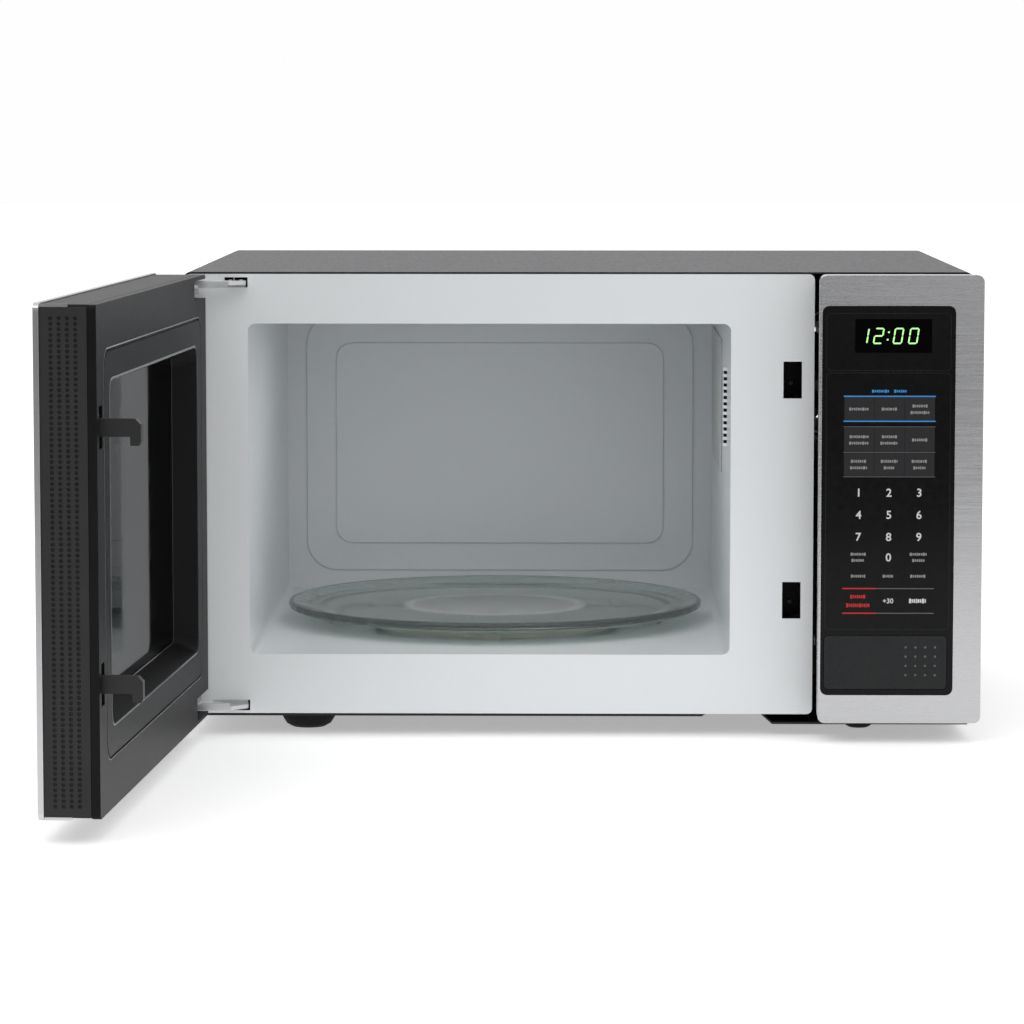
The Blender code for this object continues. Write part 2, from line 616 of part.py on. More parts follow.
def make_cutout(finish):
    """Thermal cut-out: a disc clipped to the cavity's roof."""
    seat = CAVITY_TOP + SHEET + FIT
    disc = rod("thermal_cutout", "Z", (0.300, 0.200), (seat, seat + 0.009), 0.008, finish["black"])
    join(disc, box("cutout_ears", (0.287, 0.313), (0.196, 0.204), (seat, seat + 0.001)))
    return disc


# ---------------------------------------------------------------- electronics
def make_filter_board(finish):
    """Mains filter on its own small board, on a bracket from the rear panel."""
    back = REAR_Y - SHEET - FIT
    board = box("filter_board", (0.395, 0.445), (back - 0.014, back - 0.0124), (0.090, 0.150), finish["board"])
    join(board, box("filter_bracket", (0.397, 0.405), (back - 0.013, back), (0.092, 0.148)),
         box("filter_choke", (0.410, 0.436), (back - 0.030, back - 0.0135), (0.100, 0.122), bevel=0.003),
         box("filter_fuse", (0.410, 0.438), (back - 0.020, back - 0.0135), (0.130, 0.137)))
    return board


def make_panel(finish):
    skin_outline = rounded_rectangle(PANEL_X, PANEL_Z, PANEL_CORNER)
    inner_outline = rounded_rectangle(grown(PANEL_X, -SKIN), grown(PANEL_Z, -SKIN), PANEL_CORNER - SKIN, 4)
    opening = rounded_rectangle(OVERLAY_X, OVERLAY_Z, PANEL_CORNER)
    fold = PANEL_FRONT + 0.012
    skin = prism("panel_skin", "Y", (PANEL_FRONT, fold), [skin_outline], finish["brushed"])
    round_edges(skin, SKIN * 0.5)
    cut(skin, prism("panel_skin_hollow", "Y", (PANEL_FRONT + SKIN, fold + SHEET), [inner_outline]),
        prism("panel_skin_opening", "Y", (PANEL_FRONT - SHEET, PANEL_FRONT + 2 * SHEET), [opening]))

    frame_x, frame_z = grown(PANEL_X, -SKIN - FIT), grown(PANEL_Z, -SKIN - FIT)
    outline = rounded_rectangle(frame_x, frame_z, PANEL_CORNER - SKIN - FIT)
    hollow = rounded_rectangle(grown(frame_x, -FRAME_WALL), grown(frame_z, -FRAME_WALL), 0.002, 3)
    frame = prism("panel_frame", "Y", (FRAME_FRONT, -FIT), [outline], finish["black"])
    front_wall = (FRAME_FRONT - SHEET, FRAME_FRONT + FRAME_WALL)
    cut(frame, prism("panel_frame_hollow", "Y", (FRAME_FRONT + FRAME_WALL, SHEET), [hollow]),
        box("module_hole", grown(WINDOW_X, 0.001), grown(front_wall, SHEET), grown(WINDOW_Z, 0.001)),
        prism("button_hole", "Y", grown(front_wall, SHEET),
              [rounded_rectangle(grown(BUTTON_X, FIT), grown(BUTTON_Z, FIT), 0.003, 3)]))
    ledge_y = (BOARD_Y - 0.002, BOARD_Y)
    join(frame, box("stem_ledge", grown(frame_x, -FRAME_WALL / 2), ledge_y, (frame_z[0] + 0.001, BUTTON_Z[1] + 0.002)))
    cut(frame, box("stem_hole", grown(STEM_X, FIT), grown(ledge_y, SHEET), grown(STEM_Z, FIT)))
    posts = [(grown((x, x), 0.002), (FRAME_FRONT + FRAME_WALL / 2, BOARD_Y - FIT), grown((z, z), 0.002))
             for x in (BOARD_X[0] + 0.004, BOARD_X[1] - 0.004) for z in (BOARD_Z[0] + 0.004, BOARD_Z[1] - 0.003)]
    join(frame, boxes("board_posts", posts))
    return skin, frame


def make_overlay(finish):
    """Glossy keypad sheet with holes for the display window and the push button."""
    outline = rounded_rectangle(grown(OVERLAY_X, -FIT), grown(OVERLAY_Z, -FIT), PANEL_CORNER - FIT)
    window = rectangle(WINDOW_X, WINDOW_Z)
    button = rounded_rectangle(BUTTON_X, BUTTON_Z, 0.003, 3)
    span = (PANEL_FRONT + 0.0001, FRAME_FRONT - FIT)
    overlay = prism("keypad_overlay", "Y", span, [outline, window, button], finish["gloss"])
    glazing = box("display_window", grown(WINDOW_X, -FIT), span, grown(WINDOW_Z, -FIT), finish["dark_glass"])
    return overlay, glazing


def make_electronics(finish):
    module = box("display_module", grown(WINDOW_X, -FIT), (FRAME_FRONT, BOARD_Y - FIT),
                 grown(WINDOW_Z, -FIT), finish["gloss"])
    board = box("control_board", BOARD_X, (BOARD_Y, BOARD_Y + 0.0016), BOARD_Z, finish["board"])
    join(board, box("relay", (0.432, 0.448), (BOARD_Y + 0.001, BOARD_Y + 0.018), (0.110, 0.140)),
         box("board_transformer", (0.458, 0.492), (BOARD_Y + 0.001, BOARD_Y + 0.026), (0.104, 0.134), bevel=0.002),
         box("buzzer", (0.440, 0.454), (BOARD_Y + 0.001, BOARD_Y + 0.009), (0.170, 0.184)),
         box("connector", (0.464, 0.492), (BOARD_Y + 0.001, BOARD_Y + 0.010), (0.160, 0.168)))
    return module, board


def make_button(finish, oven):
    axis = pivot("open_button_axis", (sum(BUTTON_X) / 2, PANEL_FRONT, sum(BUTTON_Z) / 2), oven)
    outline = rounded_rectangle(grown(BUTTON_X, -FIT), grown(BUTTON_Z, -FIT), 0.0027, 4)
    button = prism("open_button", "Y", (PANEL_FRONT - 0.0001, BUTTON_Y), [outline], finish["gloss"], 0.0004)
    join(button, box("button_stem", STEM_X, (BUTTON_Y - 0.001, LEVER_Y - LEVER_RADIUS - FIT), STEM_Z))
    follow(button, axis)
    return axis


# ---------------------------------------------------------------- interlock
def make_interlock(finish, oven):
    """Plate beside the latch slots: catch ledges, three switches and the release lever."""
    plate_x = (SLOT_X[1] + 0.0005, SLOT_X[1] + 0.0025)
    board = box("latch_board", plate_x, (BEHIND_PLATE, 0.052), (0.040, 0.264), finish["black"])
    for number, hook_z in enumerate(HOOK_Z):
        catch = hook_z - HOOK_TIP - 0.0004
        wedge = [(0.003, catch - 0.010), (0.015, catch - 0.010), (0.015, catch), (0.012, catch), (0.003, catch - 0.006)]
        join(board, prism(f"catch_{number}", "X", (SLOT_X[1] - 0.005, plate_x[0] + 0.001), [wedge]))
    lugs = [((SWITCH_X[0], plate_x[0] + 0.001), (SWITCH_Y + 0.0165, SWITCH_Y + 0.0185), (z, z + 0.024))
            for z in SWITCH_BASES.values()]
    join(board, boxes("switch_lugs", lugs))
    cut(board, rod("lever_bearing", "X", (LEVER_Y, LEVER_Z), grown(plate_x, SHEET), LEVER_RADIUS + 0.0002, sides=24))

    axes = []
    for name, base in SWITCH_BASES.items():
        body = box(f"{name}_switch", SWITCH_X, (SWITCH_Y, SWITCH_Y + 0.016), (base, base + 0.026), finish["black"])
        tip = (sum(HOOK_X) / 2, base + 0.008)
        cut(body, rod(f"{name}_well", "Y", tip, (SWITCH_Y - SHEET, SWITCH_Y + 0.0035), 0.0017, sides=16))
        axes.append(pivot(f"{name}_plunger_axis", (tip[0], SWITCH_Y, tip[1]), oven))
        plunger = rod(f"{name}_plunger", "Y", tip, (HOOK_REACH + 0.0004, SWITCH_Y + 0.0018), 0.0014,
                      finish["white_plastic"], 16)
        follow(body, oven)
        follow(plunger, axes[-1])

    axes.append(pivot("release_lever_axis", (sum(STEM_X) / 2, LEVER_Y, LEVER_Z), oven))
    shaft_x = (HOOK_X[0], STEM_X[1] + 0.0005)
    lever = rod("release_lever", "X", (LEVER_Y, LEVER_Z), shaft_x, LEVER_RADIUS, finish["white_plastic"], 24)
    arm = box("lever_arm", STEM_X, (LEVER_Y - LEVER_RADIUS, LEVER_Y + 0.001), (STEM_Z[0] - 0.001, LEVER_Z))
    finger = box("lever_finger", (HOOK_X[0], HOOK_X[0] + 0.0035), (LEVER_Y, LEVER_Y + 0.012), (LEVER_Z - 0.002, LEVER_Z + 0.002))
    nose = box("lever_nose", (HOOK_X[0], HOOK_X[0] + 0.0035), (LEVER_Y + 0.008, LEVER_Y + 0.012),
               (LEVER_Z, HOOK_Z[0] - HOOK_TIP - 0.0038))
    join(lever, arm, finger, nose)
    follow(lever, axes[-1])
    spring = coil("lever_spring", "X", (LEVER_Y, LEVER_Z), (plate_x[1] + FIT, STEM_X[0] - FIT),
                  LEVER_RADIUS + 0.0011, 0.0005, 6, finish["zinc"])
    return [board, spring], axes


# ---------------------------------------------------------------- turntable
def make_turntable(finish, oven):
    middle = (CAVITY_MIDDLE_X, CAVITY_MIDDLE_Y)
    roof = TRACK_FLOOR - SHEET - FIT
    motor = rod("turntable_motor", "Z", middle, (roof - 0.016, roof), 0.024, finish["zinc"], 48)
    join(motor, box("motor_ears", grown((middle[0],) * 2, 0.031), grown((middle[1],) * 2, 0.005), (roof - 0.001, roof)))
    cut(motor, rod("motor_socket", "Z", middle, (roof - 0.010, roof + SHEET), 0.0038, sides=24))

    spin = pivot("turntable_axis", (*middle, CAVITY_FLOOR), oven)
    hub_z = (TRACK_FLOOR + 0.0005, PLATE_SEAT - 0.005)
    coupler = rod("drive_coupler", "Z", middle, hub_z, 0.009, finish["white_plastic"], 32)
    join(coupler, rod("coupler_stem", "Z", middle, (roof - 0.009, hub_z[0] + 0.001), 0.0035, sides=24))
    for number in range(3):
        wing = box(f"coupler_wing_{number}", (middle[0] + 0.005, middle[0] + 0.018), grown((middle[1],) * 2, 0.003),
                   (hub_z[0] + 0.002, PLATE_SEAT - FIT))
        join(coupler, turn_about(wing, middle, 120 * number + 90))
    follow(coupler, spin)

    lift = pivot("plate_lift_axis", (*middle, PLATE_SEAT), spin)
    radius, glass = PLATE_RADIUS, PLATE_GLASS
    upper = [(0.0, glass), (radius - 0.026, glass), (radius - 0.016, glass + 0.0011), (radius - 0.006, 0.0083),
             (radius - 0.003, 0.0091), (radius - 0.001, 0.0088)]
    lower = [(radius, 0.0074), (radius - 0.0003, 0.0050), (radius - 0.002, 0.0037), (radius - 0.011, 0.0013),
             (radius - 0.020, 0.0), (0.0, 0.0)]
    plate = turned("glass_plate", (*middle, PLATE_SEAT), upper + lower, finish["glass"], 56)
    for number in range(3):
        lug = rod(f"plate_lug_{number}", "Z", (middle[0] + 0.014, middle[1]), (PLATE_SEAT - 0.004, PLATE_SEAT + 0.002),
                  0.003, sides=16)
        join(plate, turn_about(lug, middle, 120 * number + 30))
    follow(plate, lift)

    ring_axis = pivot("roller_ring_axis", (*middle, CAVITY_FLOOR), oven)
    wheel_z = TRACK_FLOOR + FIT + WHEEL_RADIUS
    ring = rod("roller_ring", "Z", middle, grown((wheel_z,) * 2, 0.0025), WHEEL_TRACK - 0.010, finish["white_plastic"], 48)
    wheel_axes = []
    stubs = []
    for number in range(3):
        stub = rod(f"roller_stub_{number}", "X", (middle[1], wheel_z),
                   (middle[0] + WHEEL_TRACK - 0.012, middle[0] + WHEEL_TRACK + 0.0055), 0.0018, sides=16)
        stubs.append(turn_about(stub, middle, ROLLER_ANGLES[number]))
    join(ring, *stubs)
    cut(ring, rod("ring_hollow", "Z", middle, grown((wheel_z,) * 2, 0.01), WHEEL_TRACK - 0.016, sides=48))
    for number in range(3):
        angle = math.radians(ROLLER_ANGLES[number])
        place = (middle[0] + WHEEL_TRACK * math.cos(angle), middle[1] + WHEEL_TRACK * math.sin(angle), wheel_z)
        axis = pivot(f"roller_{number + 1}_axis", place, ring_axis)
        roller = rod(f"roller_{number + 1}", "X", (middle[1], wheel_z),
                     grown((middle[0] + WHEEL_TRACK,) * 2, 0.003), WHEEL_RADIUS, finish["white_plastic"], 32)
        cut(roller, rod(f"roller_bore_{number}", "X", (middle[1], wheel_z),
                        grown((middle[0] + WHEEL_TRACK,) * 2, 0.005), 0.0020, sides=16))
        turn_about(roller, middle, ROLLER_ANGLES[number])
        follow(roller, axis)
        wheel_axes.append(axis)
    follow(ring, ring_axis)
    return motor, [spin, lift, ring_axis] + wheel_axes


def turn_about(item, middle, degrees):
    """Turn an item about the upright line through a point in plan."""
    centre = Vector((middle[0], middle[1], 0.0))
    turn = Matrix.Translation(centre) @ Matrix.Rotation(math.radians(degrees), 4, "Z") @ Matrix.Translation(-centre)
    item.matrix_basis = turn @ item.matrix_basis
    return item


# ---------------------------------------------------------------- hinges
def make_hinge_plate(name, arm_z, pin_z, flange_z, finish):
    """Steel plate behind the front plate, with an arm through its notch and a pin on the arm."""
    boss = 0.0048
    arc = [(HINGE_X - boss * math.sin(math.radians(angle)), HINGE_Y - boss * math.cos(math.radians(angle)))
           for angle in range(0, 181, 20)]
    outline = arc + [(0.028, HINGE_Y + boss), (0.028, BEHIND_PLATE + 0.0015), (0.041, BEHIND_PLATE + 0.0015),
                     (0.041, -0.006), (0.031, HINGE_Y - boss)]
    arm = prism(name, "Z", arm_z, [outline], finish["zinc"])
    join(arm, box(name + "_flange", (INNER_X[0] + 0.007, CAVITY_LEFT - SHEET - 0.0004),
                  (BEHIND_PLATE, BEHIND_PLATE + 0.002), flange_z),
         rod(name + "_pin", "Z", (HINGE_X, HINGE_Y), pin_z, PIN_RADIUS, sides=24))
    return arm


# ---------------------------------------------------------------- door, laid out shut
def make_pockets(name):
    """Room in a door piece for the hinge arms, from shut to fully open."""
    span = (HINGE_Y - 0.0065, DOOR_BACK + 0.01)
    return boxes(name, [((DOOR_X[0] - 0.005, 0.048), span, UPPER_POCKET_Z),
                        ((DOOR_X[0] - 0.005, 0.048), span, LOWER_POCKET_Z)])


def make_door_skin(finish):
    outline = rounded_rectangle(DOOR_X, DOOR_Z, DOOR_CORNER)
    inner = rounded_rectangle(grown(DOOR_X, -SKIN), grown(DOOR_Z, -SKIN), DOOR_CORNER - SKIN)
    opening = rounded_rectangle(grown(DOOR_WINDOW_X, -0.004), grown(DOOR_WINDOW_Z, -0.002), 0.006)
    skin = prism("door_skin", "Y", (DOOR_FRONT, FOLD_Y), [outline], finish["brushed"])
    round_edges(skin, SKIN * 0.5)
    cut(skin, prism("door_skin_hollow", "Y", (DOOR_FRONT + SKIN, FOLD_Y + SHEET), [inner]),
        prism("door_skin_opening", "Y", (DOOR_FRONT - SHEET, DOOR_FRONT + 2 * SHEET), [opening]))
    glass_y = DOOR_FRONT + SKIN + FIT
    glass = prism("door_outer_window", "Y", (glass_y, glass_y + 0.003),
                  [rounded_rectangle(grown(DOOR_WINDOW_X, 0.003), grown(DOOR_WINDOW_Z, 0.005), 0.006)],
                  finish["dark_glass"])
    return skin, glass


def make_moulding(finish):
    """Plastic surround of the door, with the two ribs that carry the latch bar and its spring."""
    outline = rounded_rectangle(MOULDING_X, MOULDING_Z, DOOR_CORNER - 0.0005)
    hollow = rounded_rectangle(grown(MOULDING_X, -MOULDING_WALL), grown(MOULDING_Z, -MOULDING_WALL), 0.002, 3)
    moulding = prism("door_moulding", "Y", MOULDING_Y, [outline, hollow], finish["black"])
    rib_x = (BAR_X[0], MOULDING_X[1] - 0.001)
    join(moulding, boxes("latch_ribs", [(rib_x, grown(BAR_Y, 0.0008), (BAR_Z[0] - FIT - 0.0025, BAR_Z[0] - FIT)),
                                        (rib_x, grown(BAR_Y, 0.0008), (SPRING_TOP, SPRING_TOP + 0.0025))]))
    cut(moulding, make_pockets("moulding_pockets"))
    return moulding


def make_trim(finish):
    """Ribbed strip that covers the door's free edge."""
    x = (MOULDING_X[1] + FIT, DOOR_X[1] - FIT)
    trim = box("door_edge_trim", x, MOULDING_Y, grown(MOULDING_Z, -0.0015), finish["black"])
    grooves = [((x[1] - 0.0006, x[1] + 0.001), (y, y + 0.0012), grown(MOULDING_Z, -0.009))
               for y in [MOULDING_Y[0] + 0.002 + 0.0046 * number for number in range(5)]]
    cut(trim, boxes("trim_grooves", grooves))
    return trim


def make_steel_frame(finish):
    """Steel sheet that carries the hinges and forms the choke around the window."""
    plate_x = (MOULDING_X[0] + MOULDING_WALL + FIT, BAR_X[0] - 0.003)
    plate_z = grown(MOULDING_Z, -MOULDING_WALL - FIT)
    window = rounded_rectangle(grown(DOOR_WINDOW_X, -0.014), grown(DOOR_WINDOW_Z, -0.009), 0.004)
    frame = prism("door_steel_frame", "Y", STEEL_Y, [rounded_rectangle(plate_x, plate_z, 0.002, 3), window],
                  finish["zinc"])
    choke_x, choke_z = (0.018, plate_x[1] - 0.002), (0.0335, 0.2835)
    join(frame, prism("choke_wall", "Y", (STEEL_Y[0] + 0.0005, COVER_Y - FIT * 2),
                      [rectangle(choke_x, choke_z), rectangle(grown(choke_x, -0.0012), grown(choke_z, -0.0012))]))
    for side, z in (("upper", (UPPER_ARM_Z[0] - 0.006, UPPER_ARM_Z[0] - 0.0025)),
                    ("lower", (LOWER_ARM_Z[1] + 0.003, LOWER_ARM_Z[1] + 0.0065))):
        join(frame, box(side + "_lug_root", (plate_x[0], 0.030), (STEEL_Y[0] + 0.0004, HINGE_Y), z),
             box(side + "_lug", (DOOR_X[0] + 0.0012, 0.030), (HINGE_Y - 0.0055, HINGE_Y + 0.0055), z))
        cut(frame, rod(side + "_lug_hole", "Z", (HINGE_X, HINGE_Y), grown(z, SHEET), PIN_RADIUS + 0.0002, sides=24))
    return frame


def make_screen(finish):
    outline = rounded_rectangle(grown(DOOR_WINDOW_X, -0.009), grown(DOOR_WINDOW_Z, -0.004), 0.003, 3)
    return prism("door_screen", "Y", (STEEL_Y[1] + FIT, STEEL_Y[1] + FIT + 0.0005), [outline], finish["zinc"])


def make_choke_cover(finish):
    """Inner face of the door: a flat border, a fine groove and a sloping frame down to the window."""
    x = (MOULDING_X[0], DOOR_X[1] - FIT)
    cover = prism("choke_cover", "Y", (COVER_Y, DOOR_BACK), [rounded_rectangle(x, MOULDING_Z, DOOR_CORNER - 0.001)],
                  finish["black"], 0.0012)
    wall = 0.005
    join(cover, prism("funnel_wall", "Y", (FUNNEL_Y, COVER_Y + 0.001),
                      [rounded_rectangle(grown(DOOR_WINDOW_X, wall), grown(DOOR_WINDOW_Z, wall), 0.012)]))
    funnel = prism("funnel", "Y", (FUNNEL_Y - 0.001, DOOR_BACK + 0.001),
                   [rounded_rectangle(DOOR_WINDOW_X, DOOR_WINDOW_Z, 0.009)])
    inset = 0.012
    taper(funnel, "Y", -1, (1 - inset / (DOOR_WINDOW_X[1] - DOOR_WINDOW_X[0]), 1,
                            1 - inset / (DOOR_WINDOW_Z[1] - DOOR_WINDOW_Z[0])))
    groove_x, groove_z = GROOVE_X, GROOVE_Z
    groove = prism("cover_groove", "Y", (DOOR_BACK - 0.0010, DOOR_BACK + 0.001),
                   [rounded_rectangle(groove_x, groove_z, 0.012),
                    rounded_rectangle(grown(groove_x, -0.0014), grown(groove_z, -0.0014), 0.0106)])
    slots = [((BAR_X[0], BAR_X[1]), (COVER_Y - 0.01, DOOR_BACK + 0.01), grown((centre,) * 2, SLOT_HEIGHT / 2))
             for centre in SLOT_CENTRES]
    cut(cover, funnel, groove, boxes("hook_slots", slots), make_pockets("cover_pockets"))
    pane = (FUNNEL_Y - FIT - 0.0006, FUNNEL_Y - FIT)
    window = prism("door_inner_window", "Y", pane,
                   [rounded_rectangle(grown(DOOR_WINDOW_X, 0.003), grown(DOOR_WINDOW_Z, 0.003), 0.010)],
                   finish["dark_glass"])
    return cover, window


def make_latch(finish, door):
    """Pair of hooks on one bar, which slides up against its spring."""
    axis = pivot("latch_axis", (sum(HOOK_X) / 2, DOOR_BACK, BAR_Z[0]), door)
    hooks = box("latch_hooks", BAR_X, BAR_Y, BAR_Z, finish["black"])
    for number, z in enumerate(HOOK_Z):
        end = HOOK_REACH
        outline = [(BAR_Y[1] - 0.001, z), (end - 0.006, z), (end - 0.006, z - HOOK_TIP), (end - 0.001, z - HOOK_TIP),
                   (end, z - HOOK_TIP + 0.002), (end, z + HOOK_ARM - 0.003), (end - 0.003, z + HOOK_ARM),
                   (BAR_Y[1] - 0.001, z + HOOK_ARM)]
        join(hooks, prism(f"hook_{number}", "X", HOOK_X, [outline]))
    follow(hooks, axis)
    spring = coil("latch_spring", "Z", (sum(BAR_X) / 2, sum(BAR_Y) / 2), (BAR_Z[1] + FIT, SPRING_TOP - FIT),
                  0.0032, 0.0005, 7, finish["zinc"])
    follow(spring, door)
    return axis


# ---------------------------------------------------------------- assembly
def stand_on_origin(oven):
    """Set the open oven down with the middle of its footprint on the origin."""
    bpy.context.view_layer.update()
    scene = bpy.context.evaluated_depsgraph_get()
    low, high = Vector((1e9,) * 3), Vector((-1e9,) * 3)
    for item in PARTS.objects:
        if item.type == "EMPTY":
            continue
        for corner in item.evaluated_get(scene).bound_box:
            place = item.matrix_world @ Vector(corner)
            low = Vector(map(min, low, place))
            high = Vector(map(max, high, place))
    oven.location = (-(low.x + high.x) / 2, -(low.y + high.y) / 2, -low.z)


def build():
    clear_scene()
    finish = make_finishes()
    oven = bpy.data.objects.new("oven", None)
    PARTS.objects.link(oven)

    fixed = [make_cover(finish), make_base(finish), make_rear(finish), make_gland(finish),
             make_front_plate(finish), make_cavity(finish), make_guide_cover(finish),
             make_wave_guide(finish), make_magnetron(finish), make_transformer(finish),
             make_capacitor(finish), make_diode(finish), make_duct(finish), make_lamp(finish),
             make_cutout(finish), make_filter_board(finish)]
    fixed += make_feet(finish)
    fixed += make_panel(finish)
    fixed += make_overlay(finish)
    fixed += make_electronics(finish)
    fixed += make_fan(finish, oven)[0]
    fixed += make_interlock(finish, oven)[0]
    fixed.append(make_turntable(finish, oven)[0])
    fixed.append(make_hinge_plate("upper_hinge_plate", UPPER_ARM_Z, (UPPER_ARM_Z[0] - 0.008, UPPER_ARM_Z[1]),
                                  (0.262, UPPER_ARM_Z[1]), finish))
    fixed.append(make_hinge_plate("lower_hinge_plate", LOWER_ARM_Z, (LOWER_ARM_Z[0], LOWER_ARM_Z[1] + 0.009),
                                  (LOWER_ARM_Z[0], 0.052), finish))
    for item in fixed:
        follow(item, oven)
    make_button(finish, oven)

    door = pivot("door_axis", (HINGE_X, HINGE_Y, 0.0), oven)
    door_pieces = [*make_door_skin(finish), make_moulding(finish), make_trim(finish), make_steel_frame(finish),
                   make_screen(finish), *make_choke_cover(finish)]
    for item in door_pieces:
        follow(item, door)
    make_latch(finish, door)
    door.rotation_euler.z = -DOOR_OPEN
    stand_on_origin(oven)


build()
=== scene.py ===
# %% [markdown]
# # A countertop microwave oven with its door open
#
# This lesson dresses a finished CAD model of a microwave oven. The solids come in as a fixed frame:
# they already have the right sizes and the right joints. What is left is everything the eye reads as
# "real": paint, enamel, brushed steel, moulded plastic, glass, the printing on the keypad, and the
# small pieces that are too fine for the solids, such as screws and the pits in the door's edge.

# %% Load the frame and keep its box
import json
import math

import bmesh
import bpy
from mathutils import Matrix, Vector


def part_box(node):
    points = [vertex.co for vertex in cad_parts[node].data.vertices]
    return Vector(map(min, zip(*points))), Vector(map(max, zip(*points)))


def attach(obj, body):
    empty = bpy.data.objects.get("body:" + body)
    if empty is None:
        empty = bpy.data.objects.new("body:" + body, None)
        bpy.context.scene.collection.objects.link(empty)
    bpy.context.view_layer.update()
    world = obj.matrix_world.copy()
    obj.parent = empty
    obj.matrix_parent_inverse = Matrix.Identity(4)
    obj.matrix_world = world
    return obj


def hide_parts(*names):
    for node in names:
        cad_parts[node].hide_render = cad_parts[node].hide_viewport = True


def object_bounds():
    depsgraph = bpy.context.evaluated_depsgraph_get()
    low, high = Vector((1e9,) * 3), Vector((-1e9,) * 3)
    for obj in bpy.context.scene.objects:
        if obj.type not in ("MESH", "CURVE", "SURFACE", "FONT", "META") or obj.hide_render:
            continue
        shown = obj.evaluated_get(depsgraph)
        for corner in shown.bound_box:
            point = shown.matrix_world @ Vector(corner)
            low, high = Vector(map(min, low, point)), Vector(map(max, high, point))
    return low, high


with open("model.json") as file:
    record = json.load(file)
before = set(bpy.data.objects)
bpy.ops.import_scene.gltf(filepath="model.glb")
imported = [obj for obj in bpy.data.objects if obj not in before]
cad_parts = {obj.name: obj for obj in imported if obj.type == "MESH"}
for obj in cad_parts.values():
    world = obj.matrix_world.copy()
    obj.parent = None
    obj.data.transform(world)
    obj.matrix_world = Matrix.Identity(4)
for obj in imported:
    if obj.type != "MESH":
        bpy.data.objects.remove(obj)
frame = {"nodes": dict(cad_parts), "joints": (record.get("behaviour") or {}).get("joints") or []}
cad_bounds = [list(corner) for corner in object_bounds()]
MM = 0.001
print("CAD box in metres:", cad_bounds)

# %% [markdown]
# ## Camera
#
# The oven is seen straight on from a little above its top, from far away with a long lens, as a
# catalogue would show it. A long lens keeps the upright edges nearly upright.

# %% Place the camera
lens = bpy.data.cameras.new("lens")
lens.sensor_width = 36.0
lens.lens = 147.7
camera = bpy.data.objects.new("camera", lens)
camera.location = (0.0189, -2.718, 0.414)
camera.rotation_euler = (math.radians(90 - 5.6), 0.0, math.radians(0.86))
bpy.context.scene.collection.objects.link(camera)
bpy.context.scene.camera = camera
bpy.context.scene.view_settings.view_transform = "Standard"
print("field of view:", round(math.degrees(lens.angle), 2), "degrees")

# %% [markdown]
# ## Two helpers for materials
#
# Colours are written as the hex values that a colour picker shows. Those are sRGB values, and the
# renderer works with light, so one function turns them to linear numbers. A second function adds a
# node, sets what it is given and connects it, which keeps each material readable from top to bottom.


# %% Colour and node helpers
def linear(hex_colour):
    channels = [int(hex_colour[start:start + 2], 16) / 255 for start in (1, 3, 5)]
    return tuple(c / 12.92 if c <= 0.04045 else ((c + 0.055) / 1.055) ** 2.4 for c in channels) + (1.0,)


def add_node(tree, kind, values=None, links=None, **settings):
    """Adds a node: settings are its attributes, values its unlinked sockets, links its linked ones."""
    node = tree.nodes.new(kind)
    for name, value in settings.items():
        setattr(node, name, value)
    for socket, value in (values or {}).items():
        node.inputs[socket].default_value = value
    for socket, source in (links or {}).items():
        tree.links.new(source, node.inputs[socket])
    return node


def surface(name, **values):
    """A new material: returns it, its tree and its shader, with the named shader sockets set."""
    finish = bpy.data.materials.new(name)
    finish.use_nodes = True
    tree = finish.node_tree
    shader = tree.nodes["Principled BSDF"]
    for socket, value in values.items():
        shader.inputs[socket.replace("_", " ")].default_value = value
    return finish, tree, shader


print("linear mid grey:", [round(c, 3) for c in linear("#808080")[:3]])

# %% [markdown]
# ## Grain, in real millimetres
#
# Most surfaces here differ from a perfect sheet in the same two ways: a fine texture that tilts the
# light, and a slight unevenness in how shiny they are. Both come from noise. The noise is placed in
# the piece's own space, so that it stays on a piece that moves, and its size is the real size of the
# grain in millimetres. Stretching the sizes differently along x, y and z gives brushed lines.


# %% A noise field with a real size, and its bump
def grain(tree, size_mm, detail=3.0, name="grain"):
    """Noise whose features are size_mm across along x, y and z."""
    place = add_node(tree, "ShaderNodeTexCoord")
    scaled = add_node(tree, "ShaderNodeMapping", {"Scale": [1.0 / (size * MM) for size in size_mm]},
                      {"Vector": place.outputs["Object"]})
    return add_node(tree, "ShaderNodeTexNoise", {"Scale": 1.0, "Detail": detail, "Roughness": 0.55},
                    {"Vector": scaled.outputs["Vector"]}, label=name)


def spread(tree, source, low, high):
    """Turns a field from 0 to 1 into values from low to high."""
    limits = {"From Min": 0.3, "From Max": 0.7, "To Min": low, "To Max": high}
    ranged = add_node(tree, "ShaderNodeMapRange", limits, {"Value": source})
    return ranged.outputs["Result"]


def tilt(tree, shader, source, height_mm, strength=1.0):
    """Bump of the given height on the shader."""
    bump = add_node(tree, "ShaderNodeBump", {"Distance": height_mm * MM, "Strength": strength},
                    {"Height": source})
    tree.links.new(bump.outputs["Normal"], shader.inputs["Normal"])


def two_tone(tree, shader, source, dark, light):
    """Base colour that drifts between two close colours."""
    mixed = add_node(tree, "ShaderNodeMix", data_type="RGBA")
    for socket in mixed.inputs:
        if socket.type == "RGBA" and socket.name in ("A", "B"):
            socket.default_value = linear(dark if socket.name == "A" else light)
    tree.links.new(source, mixed.inputs["Factor"])
    colour = next(output for output in mixed.outputs if output.type == "RGBA")
    tree.links.new(colour, shader.inputs["Base Color"])


print("grain helpers ready")

# %% [markdown]
# ## Powder-coated steel: the wrap-round cover and the base plate
#
# The cover is steel sheet with a baked powder coat. The powder melts and levels out, but not quite:
# it keeps a soft orange peel about 2 mm across and a fine speckle. That gives the eye a dark satin
# grey that turns brighter where it is seen at a low angle.


